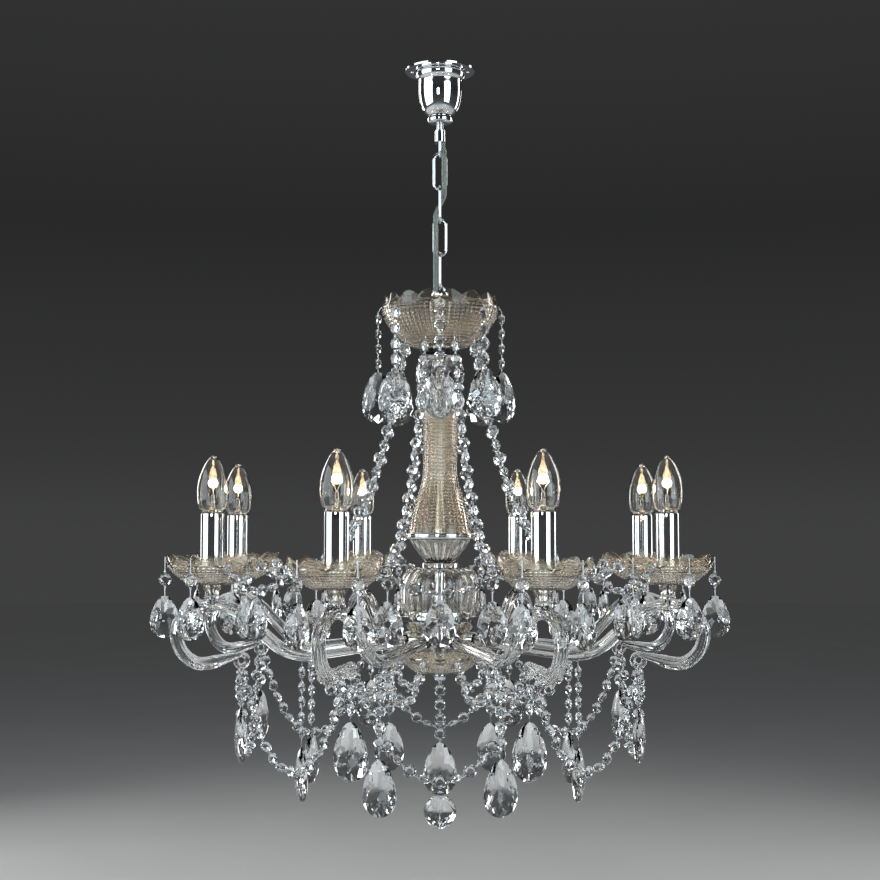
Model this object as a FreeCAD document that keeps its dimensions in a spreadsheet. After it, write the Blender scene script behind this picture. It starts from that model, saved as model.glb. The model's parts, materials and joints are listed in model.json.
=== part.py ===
import FreeCAD, Part
import math
import os
import Sketcher
from FreeCAD import Placement, Rotation, Vector

# A chandelier with glass arms, hung from the ceiling on a short chain.
# Millimetres, +Z up. The origin is the middle of the ceiling face, so everything hangs below
# it. The arms stand 45 degrees apart, half a step off the -Y axis.

doc = FreeCAD.newDocument("chandelier")
sheet = doc.addObject("Spreadsheet::Sheet", "dims")

SIZES = {
    # canopy
    "plate_radius": 41.0,
    "plate_thickness": 2.0,
    "screw_spacing": 66.0,
    "screw_hole_radius": 2.2,
    "flange_radius": 28.5,
    "flange_height": 12.0,
    "cup_radius": 25.6,
    "cup_height": 41.0,
    "cup_foot_radius": 14.0,
    "cup_wall": 1.2,
    "bead_radius": 15.0,
    "bead_height": 9.0,
    "nipple_radius": 4.0,
    "nipple_bore": 2.6,
    "nipple_drop": 8.0,
    "nipple_thread": 5.0,
    "nut_radius": 5.6,
    "nut_height": 2.5,
    "terminal_length": 20.0,
    "terminal_depth": 9.0,
    "terminal_height": 12.0,
    "hook_block_width": 12.4,
    "hook_block_height": 12.5,
    "hook_drop": 16.3,
    # chain
    "chain_wire": 3.2,
    "link_width": 17.5,
    "link_length": 46.0,
    "link_count": 4,
    "hinge_gap": 0.1,
    "ring_radius": 5.6,
    "cable_width": 6.0,
    "cable_thickness": 3.0,
    "cable_side": 5.0,
    "cable_front": 3.6,
    "cable_gap": 0.9,
    "cable_bend": 14.0,
    # stem and the pieces threaded on it
    "stem_radius": 5.0,
    "stem_bore": 3.6,
    "fit_gap": 0.3,
    "base_radius": 11.0,
    "base_height": 6.0,
    "stem_head": 51.7,
    "bowl_radius": 66.0,
    "bowl_floor_radius": 30.0,
    "bowl_height": 60.0,
    "bowl_wall": 4.0,
    "bowl_scallops": 16,
    "bowl_scallop_depth": 6.8,
    "collar_radius": 23.0,
    "collar_height": 10.0,
    "ball_radius": 28.7,
    "ball_height": 40.0,
    "flare_radius": 29.0,
    "flare_neck": 20.5,
    "flare_height": 26.0,
    "baluster_waist": 20.2,
    "baluster_foot": 37.0,
    "baluster_height": 141.0,
    "column_wall": 4.0,
    "ring_plate_radius": 40.3,
    "ring_plate_height": 6.8,
    "cone_radius": 35.5,
    "cone_neck": 18.0,
    "cone_foot": 21.0,
    "cone_height": 33.0,
    "bell_radius": 47.7,
    "bell_height": 56.2,
    "bell_wall": 3.5,
    "drum_radius": 36.5,
    "drum_height": 21.0,
    "drum_overlap": 6.0,
    "drum_neck": 6.5,
    "drum_foot": 29.0,
    "hub_cup_radius": 41.0,
    "hub_cup_floor_radius": 34.0,
    "hub_cup_height": 12.5,
    "hub_cup_wall": 3.0,
    "hub_cup_floor": 3.5,
    "hub_cup_scallop_depth": 5.5,
    "arm_hub_radius": 26.0,
    "arm_hub_neck": 12.0,
    "socket_wall": 1.2,
    "socket_reach": 42.0,
    "finial_radius": 7.0,
    "finial_wall": 1.2,
    "finial_cup": 3.0,
    "finial_skirt": 3.5,
    "eye_radius": 1.9,
    "eye_wire": 1.2,
    # arms and candles
    "arm_count": 8,
    "candle_circle": 270.0,
    "arm_radius": 7.2,
    "arm_bore": 3.6,
    "arm_tip_radius": 3.2,
    "arm_start": 22.5,
    "arm_level": 19.5,
    "arm_fall_radius": 80.0,
    "arm_fall": 6.2,
    "arm_dip_radius": 60.0,
    "arm_climb": 42.0,
    "arm_climb_length": 40.0,
    "arm_crest_radius": 58.0,
    "arm_shoulder_radius": 45.0,
    "arm_side_radius": 20.0,
    "arm_belly_radius": 36.0,
    "arm_heel_radius": 22.0,
    "arm_tail_radius": 60.0,
    "arm_tail_rise": 14.0,
    "arm_taper": 27.0,
    "arm_scroll_radius": 6.5,
    "arm_scroll_turn": 290.0,
    "candle_cup_radius": 10.0,
    "candle_cup_neck": 8.6,
    "candle_cup_height": 14.9,
    "dish_radius": 50.4,
    "dish_floor_radius": 21.5,
    "dish_height": 32.6,
    "dish_wall": 3.2,
    "dish_scallops": 10,
    "dish_scallop_depth": 8.0,
    "bottom_dish_height": 30.0,
    "sleeve_radius": 13.0,
    "sleeve_wall": 1.0,
    "sleeve_height": 74.4,
    "holder_radius": 10.5,
    "holder_height": 38.0,
    "holder_pin": 3.2,
    "socket_radius": 7.4,
    "socket_depth": 26.0,
    "bulb_radius": 17.5,
    "bulb_height": 64.0,
    "bulb_wall": 1.0,
    "cap_radius": 6.9,
    # crystals
    "octagon_width": 14.0,
    "octagon_thickness": 6.8,
    "bead_pitch": 16.5,
    "bowl_strand_gap": 1.0,
    "bead_gap": 0.3,
    "almond_length": 61.0,
    "almond_width": 38.0,
    "almond_thickness": 13.0,
    "small_almond_length": 47.0,
    "small_almond_width": 32.0,
    "small_almond_thickness": 10.0,
    "crystal_ball_radius": 19.5,
    "hook_wire": 1.4,
    "seat_gap": 0.6,
    "bowl_strand_beads": 4,
    "bowl_hook_drop": 12.0,
    "bowl_hook_length": 6.2,
    "bowl_hook_reach": 3.6,
    "strand_hook": 3.0,
    "rim_share": 0.72,
    "column_strand_beads": 22,
    "dish_swag_beads": 8,
    "scroll_drop_beads": 2,
    "mid_drop_radius": 167.0,
    "mid_drop_beads": 5,
    "scroll_swag_beads": 17,
    "hub_swag_beads": 9,
    "centre_drop_beads": 4,
    "pendant_hook": 15.5,
    "short_hook": 4.0,
    "close_hook": 1.5,
    "dish_turn": 14.0,
    "almond_hook": 8.5,
}


def fill_sheet():
    """Write every driving size in the sheet, with its own alias."""
    for row, (alias, value) in enumerate(SIZES.items(), start=1):
        sheet.set("A%d" % row, alias)
        sheet.set("B%d" % row, str(value))
        sheet.setAlias("B%d" % row, alias)
    doc.recompute()


fill_sheet()


class Size:
    """A number together with the sheet expression that gives it."""

    def __init__(self, value, text):
        self.value = float(value)
        self.text = text

    def __add__(self, other):
        other = as_size(other)
        return Size(self.value + other.value, "(%s + %s)" % (self.text, other.text))

    def __sub__(self, other):
        other = as_size(other)
        return Size(self.value - other.value, "(%s - %s)" % (self.text, other.text))

    def __mul__(self, other):
        other = as_size(other)
        return Size(self.value * other.value, "(%s * %s)" % (self.text, other.text))

    def __truediv__(self, other):
        other = as_size(other)
        return Size(self.value / other.value, "(%s / %s)" % (self.text, other.text))

    def __neg__(self):
        return Size(-self.value, "(0 - %s)" % self.text)


def as_size(number):
    """A plain number as a Size that stays as it is."""
    if isinstance(number, Size):
        return number
    return Size(number, repr(float(number)))


class Dims:
    """The sheet's sizes by name, such as dims.bowl_radius."""

    def __getattr__(self, alias):
        return Size(sheet.get(alias), "dims." + alias)


dims = Dims()


def amount(alias):
    """The plain number in one cell of the sheet."""
    return float(sheet.get(alias))


# ---------------------------------------------------------------------------------------------
# Heights, from the ceiling down
# ---------------------------------------------------------------------------------------------

plate_bottom = -dims.plate_thickness
flange_bottom = plate_bottom - dims.flange_height
cup_bottom = flange_bottom - dims.cup_height
bead_bottom = cup_bottom - dims.bead_height
nut_top = bead_bottom - dims.nipple_drop
nut_bottom = nut_top - dims.nut_height
block_bottom = nut_bottom - dims.hook_block_height

chain_bend = (dims.link_width - dims.chain_wire) / 2
link_step = dims.chain_wire + dims.hinge_gap
link_wire_length = dims.link_length - dims.chain_wire
chain_pitch = link_wire_length - link_step
hook_wire = block_bottom - dims.hook_drop

ring_wire = hook_wire - chain_pitch * dims.link_count + link_step
ring_centre = ring_wire - dims.ring_radius
base_sink = dims.chain_wire / 2
base_top = ring_centre - dims.ring_radius - dims.chain_wire / 2 + base_sink
base_bottom = base_top - dims.base_height

bowl_bottom = base_bottom - dims.stem_head - dims.bowl_wall
collar_bottom = bowl_bottom - dims.collar_height
ball_bottom = collar_bottom - dims.ball_height
flare_bottom = ball_bottom - dims.flare_height
baluster_bottom = flare_bottom - dims.baluster_height
ring_plate_bottom = baluster_bottom - dims.ring_plate_height
cone_bottom = ring_plate_bottom - dims.cone_height
bell_bottom = cone_bottom - dims.bell_height
drum_top = bell_bottom + dims.drum_overlap
drum_bottom = drum_top - dims.drum_height
hub_cup_bottom = drum_bottom - dims.hub_cup_floor
socket_outer = dims.arm_radius + dims.fit_gap + dims.socket_wall
arm_height = hub_cup_bottom - dims.fit_gap - socket_outer
arm_hub_bottom = arm_height - socket_outer
bottom_dish_rim = arm_height - dims.arm_radius - dims.seat_gap * 2
bottom_dish_bottom = bottom_dish_rim - dims.bottom_dish_height
stem_bottom = bottom_dish_bottom - dims.finial_cup
finial_web = stem_bottom - dims.finial_wall
finial_bottom = finial_web - dims.finial_skirt
eye_wire_height = finial_web - dims.eye_radius * 2 - dims.eye_wire / 6

stem_hole = dims.stem_radius + dims.fit_gap
CLEAR = 0.5


def hinge_height(index):
    """The height of a chain hinge; number 0 is at the hook and the last is at the ring."""
    return hook_wire - chain_pitch * index


# ---------------------------------------------------------------------------------------------
# Helpers that make one body
# ---------------------------------------------------------------------------------------------

def origin_feature(body, role):
    """One of the planes or axes of a body's origin, by its role."""
    for feature in body.Origin.OriginFeatures:
        if feature.Role == role:
            return feature
    raise ValueError(role)


def new_sketch(body, role, name):
    """A sketch on one of the body's own origin planes."""
    sketch = body.newObject("Sketcher::SketchObject", name)
    sketch.AttachmentSupport = (origin_feature(body, role), [""])
    sketch.MapMode = "FlatFace"
    return sketch


def bind(sketch, constraint, name, size):
    """Add a named constraint that follows the sheet."""
    index = sketch.addConstraint(constraint)
    sketch.renameConstraint(index, name)
    sketch.setExpression("Constraints." + name, size.text)


def draw_outline(sketch, corners):
    """A closed outline of straight lines, each corner held by its two distances."""
    points = [Vector(x.value, y.value, 0) for x, y in corners]
    count = len(points)
    for index in range(count):
        sketch.addGeometry(Part.LineSegment(points[index], points[(index + 1) % count]), False)
    for index in range(count):
        after = (index + 1) % count
        sketch.addConstraint(Sketcher.Constraint("Coincident", index, 2, after, 1))
    for index, (x, y) in enumerate(corners):
        for kind, size in (("DistanceX", x), ("DistanceY", y)):
            constraint = Sketcher.Constraint(kind, -1, 1, index, 1, size.value)
            bind(sketch, constraint, "%s%d" % (kind[-1].lower(), index), size)


def draw_circle(sketch, x, y, radius):
    """A circle with its middle and radius held."""
    circle = Part.Circle(Vector(x.value, y.value, 0), Vector(0, 0, 1), radius.value)
    index = sketch.addGeometry(circle, False)
    name = "c%d" % index
    if x.value or y.value:
        bind(sketch, Sketcher.Constraint("DistanceX", -1, 1, index, 3, x.value), name + "x", x)
        bind(sketch, Sketcher.Constraint("DistanceY", -1, 1, index, 3, y.value), name + "y", y)
    else:
        sketch.addConstraint(Sketcher.Constraint("Coincident", index, 3, -1, 1))
    bind(sketch, Sketcher.Constraint("Radius", index, radius.value), name + "r", radius)


def turned(label, corners):
    """A body turned about the vertical axis from (radius, height) corners."""
    body = doc.addObject("PartDesign::Body", label)
    sketch = new_sketch(body, "XZ_Plane", label + "_outline")
    draw_outline(sketch, [(as_size(radius), as_size(height)) for radius, height in corners])
    turn = body.newObject("PartDesign::Revolution", label + "_turn")
    turn.Profile = sketch
    turn.ReferenceAxis = (sketch, ["V_Axis"])
    turn.Angle = 360
    sketch.Visibility = False
    doc.recompute()
    return body


def follow(body, x=None, y=None, z=None, angle=0.0):
    """Place a body by expressions, turned about the vertical axis."""
    numbers = [size.value if size else 0.0 for size in (x, y, z)]
    body.Placement = Placement(Vector(*numbers), Rotation(Vector(0, 0, 1), angle))
    for axis, size in zip("xyz", (x, y, z)):
        if size:
            body.setExpression("Placement.Base." + axis, size.text)


def bowl_corners(rim, floor, height, bottom, wall, floor_wall, hole, shape):
    """The section of an open bowl; shape gives (share of the flare, share of the height)."""
    flare = rim - floor
    outer = [(floor + flare * out, bottom + height * up) for out, up in shape]
    inner = [(radius - wall, level) for radius, level in reversed(outer[1:])]
    floor_top = bottom + floor_wall
    inner[-1] = (outer[1][0] - wall * 1.6, floor_top + (outer[1][1] - bottom) * 0.6)
    end = [(floor - wall, floor_top), (hole, floor_top), (hole, bottom)]
    return outer + inner + end


DISH_SHAPE = [(0.0, 0.0), (0.38, 0.17), (0.83, 0.51), (0.985, 0.88), (1.0, 1.0)]
BOWL_SHAPE = [(0.0, 0.0), (0.44, 0.18), (0.78, 0.38), (1.07, 0.73), (1.0, 1.0)]
CUP_SHAPE = [(0.0, 0.0), (0.55, 0.4), (1.0, 1.0)]


def flare_at(shape, up):
    """The share of the flare that a bowl's outer line has reached at a share of its height."""
    for (out, level), (next_out, next_level) in zip(shape, shape[1:]):
        if up <= next_level:
            return out + (next_out - out) * (up - level) / (next_level - level)
    return shape[-1][0]


def outer_radius(rim, floor, shape, up):
    """The plain radius of a bowl's outside at a share of its height."""
    return amount(floor) + (amount(rim) - amount(floor)) * flare_at(shape, up)


def scallop(body, radius, rim, depth, count):
    """Cut the rim of a bowl into rounded humps with sharp valleys between them."""
    half = radius * math.sin(math.pi / count.value) * 0.98
    above = rim + CLEAR
    corners = [(-half, above)]
    for share in (-1.0, -0.75, -0.5, -0.25, 0.0, 0.25, 0.5, 0.75, 1.0):
        drop = 1 - math.sin(math.pi / 2 * abs(share))
        corners.append((half * share, rim - depth * drop))
    corners.append((half, above))
    sketch = new_sketch(body, "XZ_Plane", body.Name + "_notch")
    draw_outline(sketch, corners)
    whole = body.Shape.Volume
    pocket = body.newObject("PartDesign::Pocket", body.Name + "_valley")
    pocket.Profile = sketch
    pocket.Type = "Length"
    pocket.setExpression("Length", (radius * 1.2).text)
    doc.recompute()
    if pocket.Shape.isNull() or whole - pocket.Shape.Volume < 1:
        pocket.Reversed = True
        doc.recompute()
    pattern = body.newObject("PartDesign::PolarPattern", body.Name + "_scallops")
    pattern.Originals = [pocket]
    pattern.Axis = (origin_feature(body, "Z_Axis"), [""])
    pattern.Angle = 360
    pattern.setExpression("Occurrences", count.text)
    body.Tip = pattern
    sketch.Visibility = False
    doc.recompute()


def padded(label, draw, bottom, height):
    """A body pushed up from a flat sketch; its underside is at the height given."""
    body = doc.addObject("PartDesign::Body", label)
    sketch = new_sketch(body, "XY_Plane", label + "_outline")
    draw(sketch)
    pad = body.newObject("PartDesign::Pad", label + "_pad")
    pad.Profile = sketch
    pad.setExpression("Length", height.text)
    sketch.Visibility = False
    follow(body, z=bottom)
    doc.recompute()
    return body


def local_solid(corners):
    """A solid turned about a vertical axis through the origin, from (radius, height) corners."""
    points = [Vector(radius, 0, height) for radius, height in corners]
    face = Part.Face(Part.makePolygon(points + points[:1]))
    return face.revolve(Vector(0, 0, 0), Vector(0, 0, 1), 360)


def feature(label, shape, placement=None):
    """A piece whose shape is worked out here from the sheet's sizes."""
    piece = doc.addObject("Part::Feature", label)
    piece.Shape = shape
    if placement:
        piece.Placement = placement
    return piece


def turned_copies(shape, count):
    """Copies of a shape, one at each arm."""
    return [at_arm(shape, index, count) for index in range(count)]


def at_arm(shape, index, count):
    """A copy of a shape, turned from the -Y direction to the place of one arm."""
    copy = shape.copy()
    copy.rotate(Vector(0, 0, 0), Vector(0, 0, 1), arm_angle(index, count))
    return copy


def arm_angle(index, count):
    """The turn from the +X axis to one arm, in degrees."""
    return -90.0 + (index + 0.5) * 360.0 / count


ARMS = int(amount("arm_count"))

# ---------------------------------------------------------------------------------------------
# Canopy
# ---------------------------------------------------------------------------------------------


def make_ceiling_plate():
    """A thin round plate with two screw holes, flat against the ceiling."""
    def draw(sketch):
        draw_circle(sketch, as_size(0), as_size(0), dims.plate_radius)
        offset = dims.screw_spacing / 2
        draw_circle(sketch, offset, as_size(0), dims.screw_hole_radius)
        draw_circle(sketch, -offset, as_size(0), dims.screw_hole_radius)
    return padded("ceiling_plate", draw, plate_bottom, dims.plate_thickness)


def make_flange():
    """The bulging polished ring between the plate and the cup."""
    inner = dims.cup_radius - dims.cup_wall * 2
    corners = [
        (dims.flange_radius - 1.0, plate_bottom),
        (dims.flange_radius + 0.6, plate_bottom - dims.flange_height * 0.3),
        (dims.flange_radius, plate_bottom - dims.flange_height * 0.65),
        (dims.cup_radius, flange_bottom),
        (inner, flange_bottom),
        (inner, plate_bottom),
    ]
    return turned("canopy_flange", corners)


def make_canopy_cup():
    """The polished cup that hides the wiring."""
    wall = dims.cup_wall
    profile = [(1.0, 0.0), (1.0, 0.3), (0.93, 0.6), (0.8, 0.85), (0.55, 1.0)]
    outer = []
    for share, down in profile:
        outer.append((dims.cup_radius * share, flange_bottom - dims.cup_height * down))
    inner = [(outer[-2][0] - wall, outer[-2][1]), (outer[-3][0] - wall, outer[-3][1])]
    inner += [(outer[1][0] - wall, outer[1][1]), (outer[0][0] - wall, outer[0][1])]
    hole = dims.nipple_radius + dims.fit_gap
    floor = [(hole, cup_bottom), (hole, cup_bottom + wall)]
    floor += [(outer[-1][0] - wall, cup_bottom + wall)]
    return turned("canopy_cup", outer + floor + inner)


def make_canopy_bead():
    """The rounded bead under the cup."""
    hole = dims.nipple_radius + dims.fit_gap
    corners = [
        (dims.cup_foot_radius - 2.0, cup_bottom),
        (dims.bead_radius, cup_bottom - dims.bead_height * 0.3),
        (dims.bead_radius, cup_bottom - dims.bead_height * 0.7),
        (dims.cup_foot_radius - 2.5, bead_bottom),
        (hole, bead_bottom),
        (hole, cup_bottom),
    ]
    return turned("canopy_bead", corners)


def make_nipple():
    """The hollow threaded tube that joins the plate to the hook block."""
    end = nut_bottom - dims.nipple_thread
    corners = [
        (dims.nipple_radius, plate_bottom),
        (dims.nipple_radius, end),
        (dims.nipple_bore, end),
        (dims.nipple_bore, plate_bottom),
    ]
    return turned("canopy_nipple", corners)


def make_canopy_nut():
    """The thin nut that carries the bead on the threaded tube."""
    hole = dims.nipple_radius + dims.hinge_gap
    corners = [
        (dims.nut_radius, nut_top),
        (dims.nut_radius, nut_bottom),
        (hole, nut_bottom),
        (hole, nut_top),
    ]
    return turned("canopy_nut", corners)


def ring_solid(radius, wire, height, angle):
    """A round ring of wire standing upright; at angle 0 its hole faces the -Y side."""
    ring = Part.makeTorus(radius, wire / 2)
    turn = Rotation(Vector(0, 0, 1), angle) * Rotation(Vector(1, 0, 0), 90)
    ring.Placement = Placement(Vector(0, 0, height), turn)
    return ring


def make_hook():
    """The hook block under the nut, with the staple that carries the chain."""
    bend = chain_bend.value
    wire = amount("chain_wire")
    width = amount("hook_block_width")
    depth = 2 * bend + wire + 1.0
    height = amount("hook_block_height")
    bottom = block_bottom.value
    block = Part.makeBox(width, depth, height, Vector(-width / 2, -depth / 2, bottom))
    upright = [edge for edge in block.Edges if abs(edge.tangentAt(0).z) > CLEAR]
    block = block.makeFillet(width * 0.45, upright)
    bore = Part.makeCylinder(
        amount("nipple_radius") + amount("hinge_gap"),
        amount("nipple_thread"),
        Vector(0, 0, nut_bottom.value - amount("nipple_thread")),
    )
    block = block.cut(bore)
    low = hook_wire.value
    start = Vector(0, bend, bottom)
    left_end = Vector(0, bend, low + bend)
    right_end = Vector(0, -bend, low + bend)
    arc = Part.Arc(left_end, Vector(0, 0, low), right_end).toShape()
    path = Part.Wire([
        Part.LineSegment(start, left_end).toShape(),
        arc,
        Part.LineSegment(right_end, Vector(0, -bend, bottom)).toShape(),
    ])
    disc = Part.Face(Part.Wire([Part.Circle(start, Vector(0, 0, 1), wire / 2).toShape()]))
    return feature("canopy_hook", block.fuse(path.makePipe(disc)))


def make_terminal_block():
    """The terminal block under the plate, inside the cup."""
    box = doc.addObject("Part::Box", "terminal_block")
    box.setExpression("Length", "dims.terminal_length")
    box.setExpression("Width", "dims.terminal_depth")
    box.setExpression("Height", "dims.terminal_height")
    x = -dims.terminal_length / 2
    y = dims.nipple_radius + 2.0
    z = plate_bottom - dims.terminal_height
    box.Placement = Placement(Vector(x.value, y.value, z.value), Rotation())
    for axis, size in zip("xyz", (x, y, z)):
        box.setExpression("Placement.Base." + axis, size.text)
    return box


# ---------------------------------------------------------------------------------------------
# Chain and supply cable
# ---------------------------------------------------------------------------------------------

def make_link(number):
    """One long link; the odd ones face the front and the even ones are turned a quarter."""
    label = "chain_link_%d" % number
    body = doc.addObject("PartDesign::Body", label)
    spine = new_sketch(body, "XZ_Plane", label + "_path")
    bend = chain_bend
    half = link_wire_length / 2 - bend
    left, right = -bend.value, bend.value
    low, high = -half.value, half.value
    lines = [
        Part.LineSegment(Vector(right, low, 0), Vector(right, high, 0)),
        Part.ArcOfCircle(Part.Circle(Vector(0, high, 0), Vector(0, 0, 1), right), 0, math.pi),
        Part.LineSegment(Vector(left, high, 0), Vector(left, low, 0)),
        Part.ArcOfCircle(Part.Circle(Vector(0, low, 0), Vector(0, 0, 1), right), math.pi, 0),
    ]
    for line in lines:
        spine.addGeometry(line, False)
    for first, end, second, start in ((0, 2, 1, 1), (1, 2, 2, 1), (2, 2, 3, 1), (3, 2, 0, 1)):
        spine.addConstraint(Sketcher.Constraint("Tangent", first, end, second, start))
    bind(spine, Sketcher.Constraint("DistanceX", -1, 1, 0, 1, right), "bend_x", bend)
    bind(spine, Sketcher.Constraint("DistanceY", -1, 1, 0, 1, low), "low_y", -half)
    bind(spine, Sketcher.Constraint("DistanceY", -1, 1, 1, 3, high), "high_y", half)
    spine.addConstraint(Sketcher.Constraint("PointOnObject", 1, 3, -2))
    section = new_sketch(body, "XY_Plane", label + "_section")
    draw_circle(section, bend, as_size(0), dims.chain_wire / 2)
    doc.recompute()
    pipe = body.newObject("PartDesign::AdditivePipe", label + "_wire")
    pipe.Profile = section
    pipe.Spine = (spine, [])
    spine.Visibility = False
    section.Visibility = False
    centre = hinge_height(number - 1) + link_step - link_wire_length / 2
    follow(body, z=centre, angle=0.0 if number % 2 else 90.0)
    doc.recompute()
    return body


def cable_section(x, z):
    """The flat twin cable's section: a straight slot with round ends, square to the drop."""
    width = amount("cable_width")
    thick = amount("cable_thickness")
    flat = (width - thick) / 2
    y = -amount("cable_front")
    top = [Vector(x - flat, y + thick / 2, z), Vector(x + flat, y + thick / 2, z)]
    low = [Vector(x + flat, y - thick / 2, z), Vector(x - flat, y - thick / 2, z)]
    edges = [
        Part.LineSegment(top[0], top[1]).toShape(),
        Part.Arc(top[1], Vector(x + width / 2, y, z), low[0]).toShape(),
        Part.LineSegment(low[0], low[1]).toShape(),
        Part.Arc(low[1], Vector(x - width / 2, y, z), top[0]).toShape(),
    ]
    return Part.Face(Part.Wire(edges))


def rounded_path(points, radius):
    """Straight runs through the points, joined by tangent arcs of one radius."""
    edges = []
    start = points[0]
    for before, corner, after in zip(points, points[1:], points[2:]):
        come = (corner - before).normalize()
        leave = (after - corner).normalize()
        half_turn = come.getAngle(leave) / 2
        setback = radius * math.tan(half_turn)
        enter = corner - come * setback
        exit_point = corner + leave * setback
        inward = (leave - come).normalize()
        depth = radius / math.cos(half_turn) - radius
        edges.append(Part.LineSegment(start, enter).toShape())
        edges.append(Part.Arc(enter, corner + inward * depth, exit_point).toShape())
        start = exit_point
    edges.append(Part.LineSegment(start, points[-1]).toShape())
    return Part.Wire(edges)


def cable_run(number, points):
    """One stretch of the cable, from one hinge's height to the next."""
    front = -amount("cable_front")
    path_points = [Vector(x, front, z) for x, z in points]
    if len(points) > 2:
        path = rounded_path(path_points, amount("cable_bend"))
    else:
        path = Part.Wire([Part.LineSegment(path_points[0], path_points[1]).toShape()])
    section = cable_section(points[0][0], points[0][1])
    return feature("supply_cable_%d" % number, path.makePipe(section))


def make_cable():
    """The supply cable, threaded down the chain from the hook block to the stem.

    It is cut at every hinge's height, and each stretch rides on the piece beside it. It runs
    down the right of the first link, crosses through the second and goes on down the left.
    """
    side = amount("cable_side")
    half_gap = amount("cable_gap") / 2
    hinges = [hinge_height(index).value for index in range(int(amount("link_count")) + 1)]
    bend = chain_bend.value
    stretches = []
    stretches.append(cable_run(1, [(side - 2.0, block_bottom.value), (side - 2.0, block_bottom.value - 4.0),
                                   (side, block_bottom.value - 9.0), (side, hinges[0] + half_gap)]))
    for number in range(2, len(hinges) + 1):
        top = hinges[number - 2] - half_gap
        low = hinges[number - 1] + half_gap
        if number == 3:
            cross_top = top - bend / 2
            cross_low = low + bend / 2
            points = [(side, top), (side, cross_top), (-side, cross_low), (-side, low)]
        else:
            x = side if number < 3 else -side
            points = [(x, top), (x, low)]
        stretches.append(cable_run(number, points))
    last = len(hinges) + 1
    stretches.append(cable_run(last, [(-side, hinges[-1] - half_gap), (-side, base_top.value)]))
    return stretches


# ---------------------------------------------------------------------------------------------
# Column
# ---------------------------------------------------------------------------------------------

def make_top_ring():
    """The ring and its round base, screwed on the head of the stem."""
    ring = doc.addObject("Part::Torus", "ring_eye")
    ring.setExpression("Radius1", "dims.ring_radius")
    ring.setExpression("Radius2", "dims.chain_wire / 2")
    ring.Placement = Placement(Vector(0, 0, ring_centre.value), Rotation(Vector(1, 0, 0), 90))
    ring.setExpression("Placement.Base.z", ring_centre.text)
    base = doc.addObject("Part::Cylinder", "ring_base")
    base.setExpression("Radius", "dims.base_radius")
    base.setExpression("Height", "dims.base_height")
    base.Placement = Placement(Vector(0, 0, base_bottom.value), Rotation())
    base.setExpression("Placement.Base.z", base_bottom.text)
    joined = doc.addObject("Part::Fuse", "top_ring")
    joined.Base = base
    joined.Tool = ring
    doc.recompute()
    return joined


def make_stem():
    """The threaded tube from the ring's base down to the finial."""
    corners = [
        (dims.stem_radius, base_bottom),
        (dims.stem_radius, stem_bottom),
        (dims.stem_bore, stem_bottom),
        (dims.stem_bore, base_bottom),
    ]
    return turned("stem_tube", corners)


def make_top_bowl():
    """The scalloped bowl at the head of the column."""
    corners = bowl_corners(
        dims.bowl_radius, dims.bowl_floor_radius, dims.bowl_height, bowl_bottom,
        dims.bowl_wall, dims.bowl_wall, stem_hole, BOWL_SHAPE,
    )
    body = turned("top_bowl", corners)
    rim = bowl_bottom + dims.bowl_height
    scallop(body, dims.bowl_radius, rim, dims.bowl_scallop_depth, dims.bowl_scallops)
    return body


def make_bowl_collar():
    """The collar under the bowl."""
    top = bowl_bottom
    corners = [
        (dims.collar_radius, top),
        (dims.collar_radius, top - dims.collar_height * 0.55),
        (dims.collar_radius - 5.0, collar_bottom),
        (stem_hole, collar_bottom),
        (stem_hole, top),
    ]
    return turned("bowl_collar", corners)


def make_glass_ball():
    """The ball in the column, bored for the stem."""
    neck = dims.ball_radius * 0.62
    profile = [(0.0, 0.0), (0.58, 0.1), (0.92, 0.28), (1.0, 0.5), (0.92, 0.72), (0.58, 0.9), (0.0, 1.0)]
    corners = []
    for out, down in profile:
        corners.append((neck + (dims.ball_radius - neck) * out, collar_bottom - dims.ball_height * down))
    corners += [(stem_hole, ball_bottom), (stem_hole, collar_bottom)]
    return turned("glass_ball", corners)


def make_flared_collar():
    """The flared piece between the ball and the baluster."""
    top = ball_bottom
    neck = dims.flare_neck
    flare = dims.flare_radius - neck
    profile = [(0.0, 0.0), (0.35, 0.15), (1.0, 0.5), (0.75, 0.72), (0.0, 1.0)]
    corners = [(neck + flare * out, top - dims.flare_height * down) for out, down in profile]
    corners += [(stem_hole, flare_bottom), (stem_hole, top)]
    return turned("flared_collar", corners)


def make_baluster():
    """The tall waisted baluster, hollow round the stem."""
    waist = dims.baluster_waist
    spread = dims.baluster_foot - waist
    profile = [
        (0.06, 0.0), (0.09, 0.04), (0.03, 0.12), (0.0, 0.28), (0.0, 0.5), (0.18, 0.61),
        (0.48, 0.72), (0.76, 0.83), (0.93, 0.93), (1.0, 1.0),
    ]
    outer = [(waist + spread * out, flare_bottom - dims.baluster_height * down) for out, down in profile]
    inner = [(radius - dims.column_wall, height) for radius, height in reversed(outer)]
    return turned("baluster", outer + inner)


def make_ring_plate():
    """The polished ring under the baluster."""
    top = baluster_bottom
    edge = dims.ring_plate_height * 0.25
    corners = [
        (dims.ring_plate_radius - edge, top),
        (dims.ring_plate_radius, top - edge),
        (dims.ring_plate_radius, ring_plate_bottom + edge),
        (dims.ring_plate_radius - edge, ring_plate_bottom),
        (stem_hole, ring_plate_bottom),
        (stem_hole, top),
    ]
    return turned("ring_plate", corners)


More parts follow.
